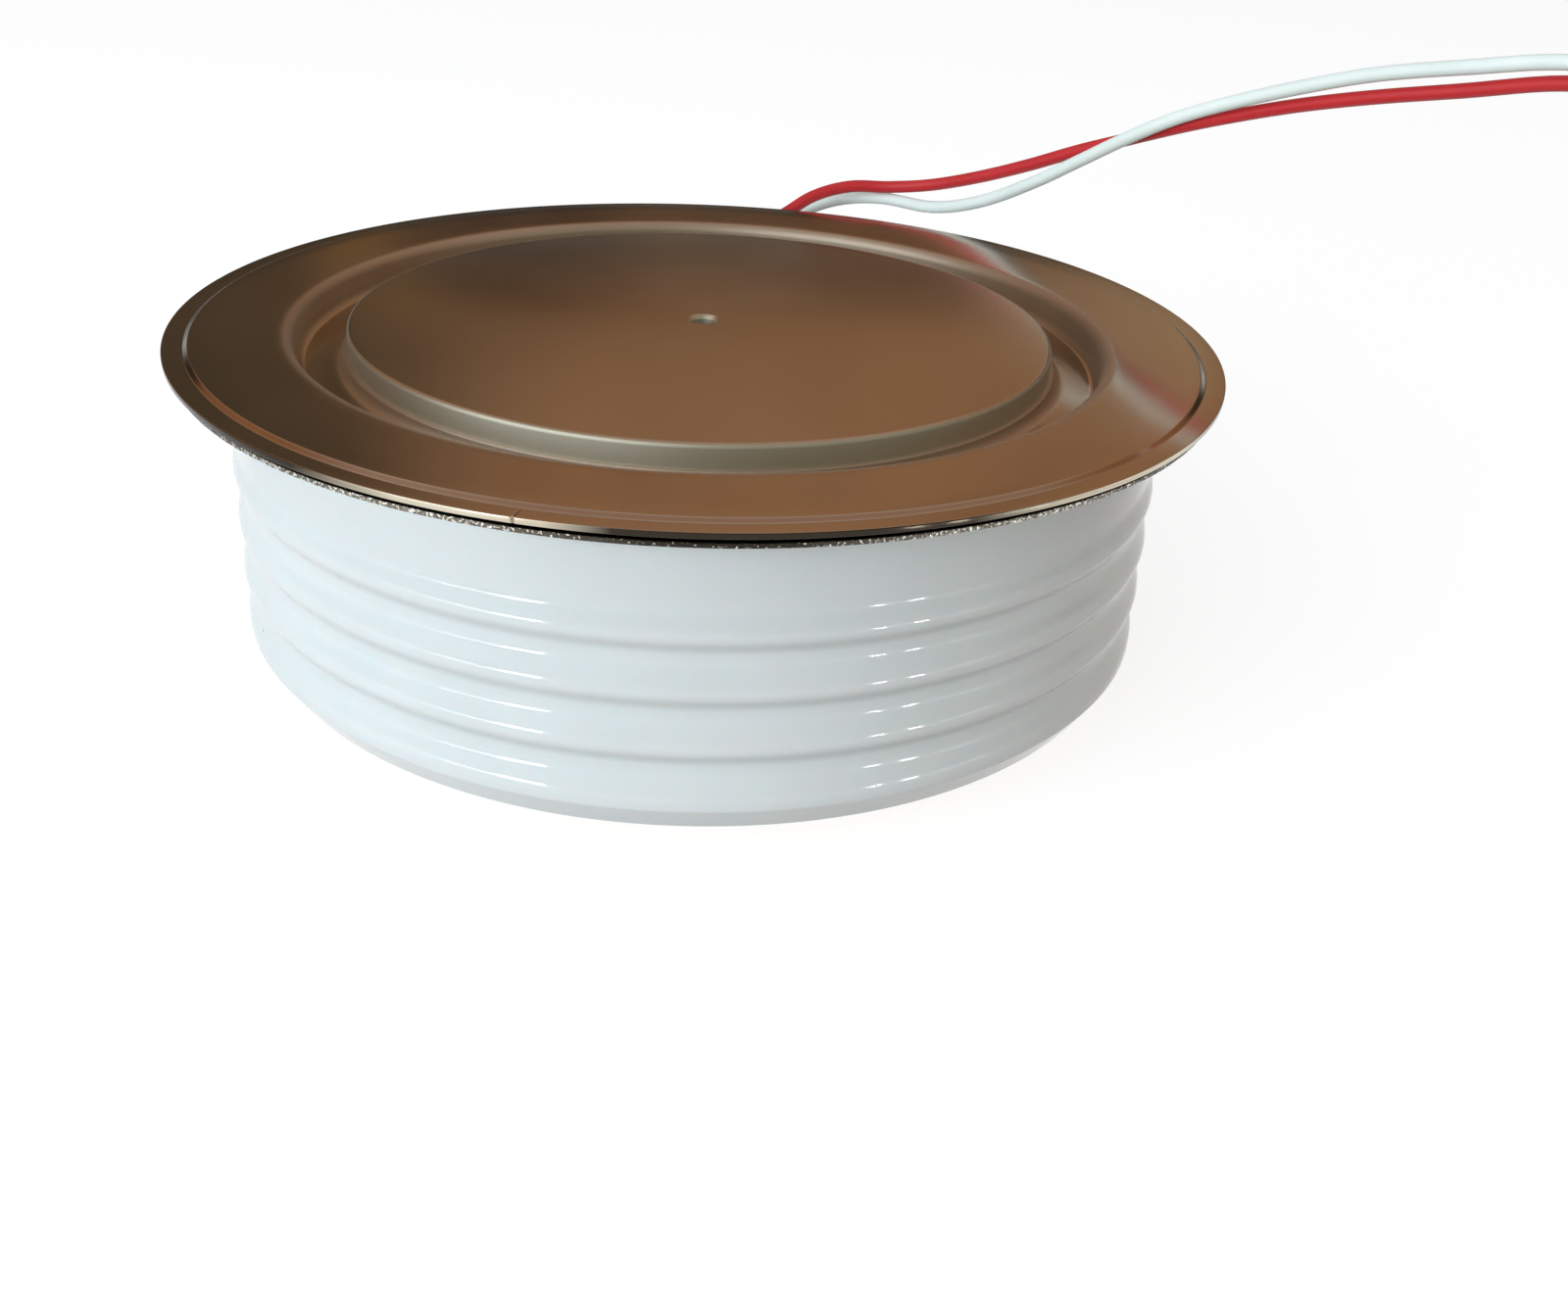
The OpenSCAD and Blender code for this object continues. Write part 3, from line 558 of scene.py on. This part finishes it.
# Cast silicone rubber: a dull brick red with a slight cloudiness
bead = clouded("cast_silicone_rubber", "#9C4A38", "#B25A44", 4, 3.0,
               {"Roughness": 0.55, "IOR": 1.41})[0]
dress(bead, "edge_bead")

# PTFE: waxy white, faintly clouded
ptfe = clouded("turned_ptfe", "#E4E2DA", "#F0EFEA", 3, 3.0,
               {"Roughness": 0.42, "IOR": 1.35, "Subsurface Weight": 0.1,
                "Subsurface Scale": 1 * MM})[0]
dress(ptfe, "locating_ring")


# Gate contact: a silver pin held on the silicon by a coil spring, in an insulating
# guide and cap, with the gate wire brazed in its head.

# Silver: bright, with a faint yellow tarnish in patches of a few millimetres
silver = clouded("silver_contact", "#CFC6B2", "#E6E4E0", 2, 3.0,
                 {"Metallic": 1.0, "Roughness": 0.22})[0]
dress(silver, "gate_pin")

# Drawn spring steel: grey, with die marks of about 0.1 mm, drawn as 0.4 mm
spring_steel = clouded("drawn_spring_steel", "#8C8C8E", "#A9A9AA", 0.4, 2.0,
                       {"Metallic": 1.0, "Roughness": 0.3})[0]
dress(spring_steel, "gate_spring")

# Tinned copper: soft white metal, slightly dimpled by the dip, with dull patches
tinned, tree, shader, dip = clouded("tinned_copper", "#B4B2AC", "#D6D5D1", 1.2, 3.0,
                                    {"Metallic": 1.0})
dip_depth = 0.06 * MM
rough = add(tree, "ShaderNodeMapRange", [dip, 0.3, 0.7, 0.22, 0.4])
bumped = add(tree, "ShaderNodeBump", {"Strength": 0.25, "Distance": dip_depth, "Height": dip})
feed(tree, shader, {"Roughness": rough, "Normal": bumped})
dress(tinned, "gate_wire")
dress(ptfe, "gate_guide", "spring_cap", "wire_sleeve")


# Cathode pole piece: the upper copper pole, turned and plated as the lower one is,
# and bored underneath for the gate contact.
cathode_low, cathode_high = (corner[2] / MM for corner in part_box("cathode_pole_piece"))
gate_bore_r = 4.5
gate_bore_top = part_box("spring_cap")[1][2] / MM
pole("turned_cathode_pole", cathode_high,
     [(POLE_R, cathode_low), (gate_bore_r, cathode_low), (gate_bore_r, gate_bore_top),
      (0, gate_bore_top)],
     "cathode_pole_piece")


# Cathode flange: one thin sheet, pressed and spun into a collar on the pole, a groove,
# a flat annulus, a small step and the weld lip. Nickel plated; its rim has a nick.
SHEET_T = 0.5
ANNULUS_Z = 34.75
LIP_Z = 34.4
GROOVE_Z = 31.35
WALL_R = 41.7
COLLAR_TOP = 32.65
BEND_R = 1.0
SHOULDER_R = 1.0
RIM_SEGMENTS = 720
collar_edge = 0.2
annulus_rows = 44.0, 46.5, 49.0
step_bend = 0.22
step_top = STEP_R - 0.05
step_foot = STEP_R + STEP_W + 0.1
lip_round = 0.1
lip_rise = 0.07
groove_in = POLE_R + SHEET_T + BEND_R
groove_out = WALL_R - BEND_R
shoulder = WALL_R + SHOULDER_R
top_side = [
    *bend(POLE_R + SHEET_T - collar_edge, COLLAR_TOP - collar_edge, collar_edge, 90, 0, 4),
    *bend(groove_in, GROOVE_Z + BEND_R, BEND_R, 180, 270, 10),
    *bend(groove_out, GROOVE_Z + BEND_R, BEND_R, 270, 360, 10),
    *bend(shoulder, ANNULUS_Z - SHOULDER_R, SHOULDER_R, 180, 90, 12),
    *((row, ANNULUS_Z) for row in annulus_rows),
    *bend(step_top, ANNULUS_Z - step_bend, step_bend, 90, 40, 5),
    *bend(step_foot, LIP_Z + step_bend, step_bend, 220, 270, 5),
    *bend(FLANGE_R - lip_round, LIP_Z + lip_rise - lip_round, lip_round, 90, 0, 5),
    *bend(FLANGE_R - lip_round, LIP_Z - SHEET_T + lip_round, lip_round, 0, -90, 5),
]
under_side = [
    (step_foot, LIP_Z - SHEET_T), (step_top, ANNULUS_Z - SHEET_T),
    *bend(shoulder, ANNULUS_Z - SHOULDER_R, SHOULDER_R - SHEET_T, 90, 180, 6),
    *bend(groove_out, GROOVE_Z + BEND_R, BEND_R + SHEET_T, 360, 270, 10),
    *bend(groove_in, GROOVE_Z + BEND_R, BEND_R + SHEET_T, 270, 180, 10),
    (POLE_R, COLLAR_TOP),
]
nick_turn = math.radians(-15.4)
nick_w = 0.1
nick_depth = 0.3
nick_reach = 0.25
nick_sink = 0.2
nick_row = 0.04
nick_turns = [nick_turn + nick_row * i / FLANGE_R for i in range(-12, 13)]


def nicked(p):
    """The rim, with the small dent that it has at the front left."""
    out = math.hypot(p.x, p.y)
    if out < FLANGE_R - nick_reach:
        return p
    along = (math.atan2(p.x, -p.y) - nick_turn) * FLANGE_R
    towards_rim = min(1, max(0, (out - FLANGE_R + nick_reach) / nick_reach))
    dent = nick_depth * math.exp(-(along / nick_w) ** 2) * towards_rim
    return Vector((p.x * (1 - dent / out), p.y * (1 - dent / out), p.z - nick_sink * dent))


flange_section = list(reversed(top_side + under_side))
flange_turns = sorted(full_turn(RIM_SEGMENTS) + nick_turns)
flange_mesh = revolved("spun_flange", flange_section, flange_turns, plated_sheet, nicked)
piece("spun_flange", flange_mesh, "plated_sheet", "cathode_flange")


# Cathode tab: a plated strip welded under the weld ring at the back, its end rolled
# into the barrel that the cathode lead is crimped in.
dress(plated_sheet, "cathode_tab")


# Leads: stranded copper in extruded insulation, white for the gate and red for the
# cathode. They leave the back of the capsule, arch over to the right and come down
# to the table, where each ends in a ring terminal.
LEAD_D = 1.6
LEAD_SIDES = 20
ROUTE_STEPS = 6
GATE_EXIT = (0, 52, 26.3)
TAB_TURN = math.radians(-14)
TAB_R = 51.4
TAB_Z = 31.0
BARREL_END = 10.5


def along_rim(s):
    """A point on the cathode barrel's axis, so far along the rim from the tab's middle."""
    return (TAB_R * math.sin(TAB_TURN) + s * math.cos(TAB_TURN),
            TAB_R * math.cos(TAB_TURN) - s * math.sin(TAB_TURN), TAB_Z)


gate_route = [
    GATE_EXIT, (0, 57, 26.3), (0.8, 60.2, 26.5), (3.2, 62.8, 27.2), (7, 64.2, 28.6),
    (12, 64.6, 31), (18, 63.4, 33.6), (24, 60.6, 34.8), (30.5, 54.6, 35.2), (36, 49.2, 37.4),
    (41.5, 44.4, 41), (46.5, 40, 45), (51, 36.2, 48.6), (55.5, 32.4, 51.8), (60, 28.2, 54.4),
    (66, 22.4, 57.4), (72.5, 16, 60.2), (79.5, 8.6, 62.4), (86, 1.6, 64.2), (92, -4.6, 64.2),
    (97, -9.8, 61), (100.2, -13, 55), (101.6, -14.6, 47), (102, -15.2, 38), (102.2, -15.6, 29),
    (102.6, -16.2, 20), (103.8, -17.6, 12), (106.4, -20.6, 5.6), (110, -25.4, 2),
    (112.6, -30.6, 1.1), (113.5, -36, 1.2), (113.5, -41, 1.3), (113.5, -45, 1.3),
]
cathode_route = [
    along_rim(0), along_rim(BARREL_END), (5, 54.4, 31.2), (10, 56.2, 32.8), (14.5, 58.2, 35.2),
    (19.5, 59.6, 36.4), (25, 59.4, 36.6), (30.5, 57.2, 37.6), (36, 52.8, 39.8),
    (41.5, 47.8, 42.6), (46.8, 43, 45.6), (51.8, 38.2, 48.2), (56.4, 33.8, 50.6),
    (61, 29.4, 52.8), (67, 23.4, 55.4), (73, 17.2, 57.6), (80, 10, 59.8), (87, 2.8, 62),
    (92.6, -3.2, 62.2), (97.6, -8, 60), (101.4, -11.4, 55), (103.2, -13, 47.4),
    (104, -13.8, 38.4), (104.4, -14.2, 29), (105, -14.8, 20), (106.4, -16.4, 12),
    (109.6, -19.4, 5.6), (114.4, -23.6, 2.2), (119.4, -28.6, 1.1), (123.4, -34.2, 1.1),
    (125.4, -38, 1.2), (126, -42, 1.3), (126, -46, 1.3),
]


def smoothed(route, steps):
    """A smooth line through a route's points, in metres."""
    p = [Vector(q) * MM for q in route]
    line = []
    for i in range(len(p) - 1):
        a, b, c, d = p[max(i - 1, 0)], p[i], p[i + 1], p[min(i + 2, len(p) - 1)]
        for k in range(steps):
            t = k / steps
            line.append(0.5 * (2 * b + (c - a) * t + (2 * a - 5 * b + 4 * c - d) * t * t
                               + (3 * b - a - 3 * c + d) * t ** 3))
    return line + [p[-1]]


def tube(name, line, r, sides, material):
    """A round cord along a line, with its length and the turn about it as its UV map."""
    points, faces, gone = [], [], [0.0]
    across = (line[1] - line[0]).orthogonal().normalized()
    for i, p in enumerate(line):
        way = (line[min(i + 1, len(line) - 1)] - line[max(i - 1, 0)]).normalized()
        across = (across - way * across.dot(way)).normalized()
        beside = way.cross(across)
        if i:
            gone.append(gone[-1] + (p - line[i - 1]).length)
        for k in range(sides):
            turn = 2 * math.pi * k / sides
            points.append(p + r * (math.cos(turn) * across + math.sin(turn) * beside))
    for i in range(len(line) - 1):
        near, far = i * sides, (i + 1) * sides
        for k in range(sides):
            after = (k + 1) % sides
            faces.append((near + k, near + after, far + after, far + k))
    last = (len(line) - 1) * sides
    faces.append(tuple(reversed(range(sides))))
    faces.append(tuple(range(last, last + sides)))
    mesh = bpy.data.meshes.new(name)
    mesh.from_pydata(points, [], faces)
    mesh.materials.append(material)
    along = mesh.uv_layers.new(name="along")
    for face in mesh.polygons:
        turns = [v % sides / sides for v in face.vertices]
        over_seam = max(turns) - min(turns) > 0.5
        for v, turn, loop in zip(face.vertices, turns, face.loop_indices):
            once_round = turn + 1 if over_seam and turn < 0.5 else turn
            along.data[loop].uv = (gone[v // sides], once_round)
    return mesh, gone[-1]


# Extruded silicone insulation: a soft sheen, die lines along it and rubbed patches about
# 8 mm long. The lines are 9 to a turn and waver 60 times in a metre.
die_waver, die_lines = 60.0, 9.0
die_depth = 0.06 * MM


def insulation(name, light, dark):
    made, tree, shader, rubbed_and_highlight = clouded(name, dark, light, 8, 3.0, {
        "IOR": 1.45, "Subsurface Weight": 0.05, "Subsurface Scale": 0.5 * MM})
    lie = add(tree, "ShaderNodeUVMap", uv_map="along")
    lines = add(tree, "ShaderNodeMapping", {"Vector": lie, "Scale": (die_waver, die_lines, 1.0)})
    die = add(tree, "ShaderNodeTexNoise", {"Vector": lines, "Scale": 1.0, "Detail": 2.0})
    rough = add(tree, "ShaderNodeMapRange", [rubbed_and_highlight, 0.3, 0.7, 0.34, 0.5])
    bumped = add(tree, "ShaderNodeBump", {"Strength": 0.2, "Distance": die_depth, "Height": die})
    feed(tree, shader, {"Roughness": rough, "Normal": bumped})
    return made


white_insulation = insulation("white_silicone_insulation", "#DDE6E2", "#CBD6D2")
red_insulation = insulation("red_silicone_insulation", "#C22A2E", "#A81F26")
dress(white_insulation, "gate_lead_sleeve")
dress(red_insulation, "cathode_lead_sleeve")
dress(tinned, "gate_terminal", "cathode_terminal")
for lead, route, material, slot in (
        ("gate", gate_route, white_insulation, "white_insulation"),
        ("cathode", cathode_route, red_insulation, "red_insulation")):
    line = smoothed(route, ROUTE_STEPS)
    mesh, length = tube(lead + "_cord", line, LEAD_D / 2 * MM, LEAD_SIDES, material)
    cord = piece(lead + "_cord", mesh, slot, lead + "_lead")


# Studio: a plain white floor that keeps a soft shadow, a warm wall round the room that
# only shows in the shine of the metal, soft lamps, and the camera.
WHITE = (1, 1, 1, 1)
scene = bpy.context.scene
scene.view_settings.view_transform = "Standard"


def seen_white(tree):
    """1 for the rays that see the background: straight, in a shine or through glass."""
    ray = add(tree, "ShaderNodeLightPath").node.outputs
    shine = add(tree, "ShaderNodeMath", [ray["Is Camera Ray"], ray["Is Glossy Ray"]],
                operation="MAXIMUM")
    return add(tree, "ShaderNodeMath", [shine, ray["Is Transmission Ray"]], operation="MAXIMUM")


SKY_LEFT = "#C4CED4"
SKY_RIGHT = "#806F5E"
world = bpy.data.worlds.new("white_studio")
world.use_nodes = True
scene.world = world
tree = world.node_tree
way = add(tree, "ShaderNodeTexCoord", out="Generated")
rightward = add(tree, "ShaderNodeSeparateXYZ", [way], "X")
right_share = add(tree, "ShaderNodeMapRange", [rightward, -0.6, 0.8])
sky = add(tree, "ShaderNodeMix", {SHARE: right_share, COLOUR_A: linear(SKY_LEFT),
                                  COLOUR_B: linear(SKY_RIGHT)}, **COLOURS)
shown = add(tree, "ShaderNodeMix", {SHARE: seen_white(tree), COLOUR_A: sky, COLOUR_B: WHITE},
            **COLOURS)
feed(tree, tree.nodes["Background"], {"Color": shown, "Strength": 1.0})

# White paper: the eye sees it nearly white with the object's shadow on it, while the
# object is lit by a browner table
TABLE = "#8C837A"
PAPER_GREY = (0.25, 0.25, 0.25, 1)
PAPER_GLOW = 0.84
floor_half = 6.0
floor_z = -0.1 * MM
floor_mesh = bpy.data.meshes.new("white_floor")
floor_mesh.from_pydata([(x * floor_half, y * floor_half, floor_z)
                        for x, y in ((-1, -1), (1, -1), (1, 1), (-1, 1))], [], [(0, 1, 2, 3)])
floor = bpy.data.objects.new("white_floor", floor_mesh)
scene.collection.objects.link(floor)
paper = bpy.data.materials.new("white_paper")
paper.use_nodes = True
tree = paper.node_tree
tree.nodes.remove(tree.nodes["Principled BSDF"])
white = seen_white(tree)
albedo = add(tree, "ShaderNodeMix", {SHARE: white, COLOUR_A: linear(TABLE), COLOUR_B: PAPER_GREY},
             **COLOURS)
glow = add(tree, "ShaderNodeMapRange", [white, 0, 1, 0.0, PAPER_GLOW])
matt = add(tree, "ShaderNodeBsdfDiffuse", {"Color": albedo})
lit = add(tree, "ShaderNodeEmission", {"Strength": glow})
feed(tree, tree.nodes["Material Output"],
     {"Surface": add(tree, "ShaderNodeAddShader", [matt, lit])})
floor_mesh.materials.append(paper)

room_r, room_h, room_sides = 1.0, 1.2, 64
room_turns = [2 * math.pi * i / room_sides for i in range(room_sides)]
walls = [(i, (i + 1) % room_sides, room_sides + (i + 1) % room_sides, room_sides + i)
         for i in range(room_sides)]
ceiling = tuple(range(room_sides, 2 * room_sides))
room_mesh = bpy.data.meshes.new("warm_room")
room_mesh.from_pydata([(room_r * math.sin(turn), room_r * math.cos(turn), z)
                       for z in (0.0, room_h) for turn in room_turns], [], walls + [ceiling])
room = bpy.data.objects.new("warm_room", room_mesh)
scene.collection.objects.link(room)
room.visible_camera = False
room.visible_diffuse = False
room.visible_transmission = False
room.visible_shadow = False

# Wall paint: dark low down and warm above, with soft patches of other tones, each given
# by its middle and two distances, then the front, the pale foot and the ceiling
WALL_WARM = "#9D7556"
WALL_LOW = "#2C261C"
WALL_FRONT = "#A0A193"
WALL_LEFT = "#B4B9BA"
WALL_FOOT = "#BFC4C4"
CEILING = "#AE988A"
wall_patches = (
    ("#AE9072", (0.32, 0.945, 0.29), 0.14, 0.02),
    ("#524434", (-0.385, 0.92, 0.44), 0.315, 0.1),
    ("#8E6A3E", (-0.24, 0.97, 0.285), 0.05, 0.01),
    ("#100C08", (-0.13, 0.985, 0.248), 0.115, 0.045),
)
paint = bpy.data.materials.new("warm_room_paint")
paint.use_nodes = True
tree = paint.node_tree
tree.nodes.remove(tree.nodes["Principled BSDF"])
place = add(tree, "ShaderNodeTexCoord", out="Object")
spot = add(tree, "ShaderNodeSeparateXYZ", [place]).node.outputs
SOFT = {"interpolation_type": "SMOOTHSTEP"}
up = add(tree, "ShaderNodeMapRange", [spot["Z"], 0.24, 0.345], **SOFT)
colour = add(tree, "ShaderNodeMix", {SHARE: up, COLOUR_A: linear(WALL_LOW),
                                     COLOUR_B: linear(WALL_WARM)}, **COLOURS)
for tone, middle, reach, core in wall_patches:
    away = add(tree, "ShaderNodeVectorMath", [place, middle], "Value", operation="DISTANCE")
    near = add(tree, "ShaderNodeMapRange", [away, reach, core], **SOFT)
    colour = add(tree, "ShaderNodeMix", {SHARE: near, COLOUR_A: colour, COLOUR_B: linear(tone)},
                 **COLOURS)
uprights = add(tree, "ShaderNodeMapping", {"Vector": place, "Scale": (1.0, 1.0, 0.25)})
uneven = add(tree, "ShaderNodeTexNoise", {"Vector": uprights, "Scale": 9.0, "Detail": 1.0})
shade = add(tree, "ShaderNodeMapRange", [uneven, 0.35, 0.65, 0.86, 1.08])
colour = add(tree, "ShaderNodeVectorMath", [colour, shade], operation="MULTIPLY")
leftward = add(tree, "ShaderNodeMapRange", [spot["X"], -0.2, -0.6], **SOFT)
facing = add(tree, "ShaderNodeMix", {SHARE: leftward, COLOUR_A: linear(WALL_FRONT),
                                     COLOUR_B: linear(WALL_LEFT)}, **COLOURS)
for axis, start, stop, tone in (("Y", 0.2, -0.5, facing), ("Z", 0.14, 0.06, linear(WALL_FOOT)),
                                ("Z", 0.7, 1.1, linear(CEILING))):
    there = add(tree, "ShaderNodeMapRange", [spot[axis], start, stop], **SOFT)
    colour = add(tree, "ShaderNodeMix", {SHARE: there, COLOUR_A: colour, COLOUR_B: tone},
                 **COLOURS)
feed(tree, tree.nodes["Material Output"],
     {"Surface": add(tree, "ShaderNodeEmission", {"Color": colour})})
room_mesh.materials.append(paint)

LAMP_AWAY = 0.8
DAYLIGHT = "#F4FAFF"


def lamp(name, turn, rise, width, tall, watts, colour, shine=False):
    """A soft rectangular lamp: turn is its direction from the front, rise its angle over it."""
    a, e = math.radians(turn), math.radians(rise)
    light = bpy.data.lights.new(name, "AREA")
    light.shape = "RECTANGLE"
    light.size, light.size_y = width, tall
    light.energy = watts
    light.color = linear(colour)[:3]
    made = bpy.data.objects.new(name, light)
    made.location = LAMP_AWAY * Vector((math.sin(a) * math.cos(e), -math.cos(a) * math.cos(e),
                                        math.sin(e)))
    made.rotation_euler = (-made.location).to_track_quat("-Z", "Y").to_euler()
    made.visible_camera = False
    made.visible_glossy = shine
    scene.collection.objects.link(made)
    return made


def keep_off(light, shaded):
    """Keeps a lamp's light off one object."""
    shade = bpy.data.collections.new("off_" + shaded.name)
    shade.objects.link(shaded)
    shade.collection_objects[0].light_linking.link_state = "EXCLUDE"
    light.light_linking.receiver_collection = shade


lamp("window", -38, 16, width=0.6, tall=0.35, watts=4.1, colour=DAYLIGHT)
skylight = lamp("skylight", -48, 30, width=1.0, tall=0.72, watts=2.95, colour=DAYLIGHT, shine=True)
lamp("fill", 60, 52, width=0.5, tall=0.4, watts=0.45, colour="#FFE6CF")
behind = lamp("behind", 172, 30, width=0.7, tall=0.4, watts=2.2, colour="#FAFCFF")

# The skylight is for the metal: on the glaze it would be one streak too many. The lamp
# behind lights the object's back, and would darken the floor in front of it.
keep_off(skylight, glazed_ring)
keep_off(behind, floor)


def strip(name, turns, reach, rise, tall, watts):
    """A low strip light that the glaze mirrors, between two directions from the front."""
    a, b = (Vector((math.sin(math.radians(t)), -math.cos(math.radians(t)), 0)) * reach
            for t in turns)
    light = bpy.data.lights.new(name, "AREA")
    light.shape = "RECTANGLE"
    light.size, light.size_y = (b - a).length, tall
    light.energy = watts
    made = bpy.data.objects.new(name, light)
    along = (a - b).normalized()
    outward = ((a + b) / 2).normalized()
    turned = Matrix((along, Vector((0, 0, 1)), outward)).transposed()
    made.matrix_world = Matrix.Translation((a + b) / 2 + Vector((0, 0, rise))) @ turned.to_4x4()
    made.visible_camera = False
    scene.collection.objects.link(made)


strip("strip_left", (-40, -30.5), reach=0.25, rise=0.009, tall=0.02, watts=0.05)
strip("strip_left_dim", (-54, -40), reach=0.25, rise=0.008, tall=0.009, watts=0.012)
strip("strip_left_end", (-68, -54), reach=0.25, rise=0.008, tall=0.005, watts=0.003)
strip("strip_right_a", (33.5, 36), reach=0.14, rise=0.003, tall=0.005, watts=0.004)
strip("strip_right_b", (41, 44), reach=0.14, rise=0.003, tall=0.005, watts=0.0045)
strip("strip_right_dim", (48, 60), reach=0.14, rise=0.003, tall=0.003, watts=0.0009)

# The photograph's camera: its place in millimetres, then pitch, yaw and roll in degrees
EYE = (0.176, -169.939, 86.203)
PHOTO_W, FOCAL_PIXELS, SENSOR_W = 1600, 1684.598, 36.0
pitch, yaw, roll = (math.radians(t) for t in (27.9489, -3.4308, 3.0982))
forward = Vector((-math.sin(yaw) * math.cos(pitch), math.cos(yaw) * math.cos(pitch),
                  -math.sin(pitch)))
level_right = Vector((math.cos(yaw), math.sin(yaw), 0))
level_up = level_right.cross(forward)
right = math.cos(roll) * level_right + math.sin(roll) * level_up
upward = -math.sin(roll) * level_right + math.cos(roll) * level_up
camera = bpy.data.objects.new("camera", bpy.data.cameras.new("camera"))
camera.data.sensor_fit = "HORIZONTAL"
camera.data.sensor_width = SENSOR_W
camera.data.lens = SENSOR_W * FOCAL_PIXELS / PHOTO_W
camera.data.clip_start = 5 * MM
camera.matrix_world = (Matrix.Translation(Vector(EYE) * MM)
                       @ Matrix((right, upward, -forward)).transposed().to_4x4())
scene.collection.objects.link(camera)
scene.camera = camera
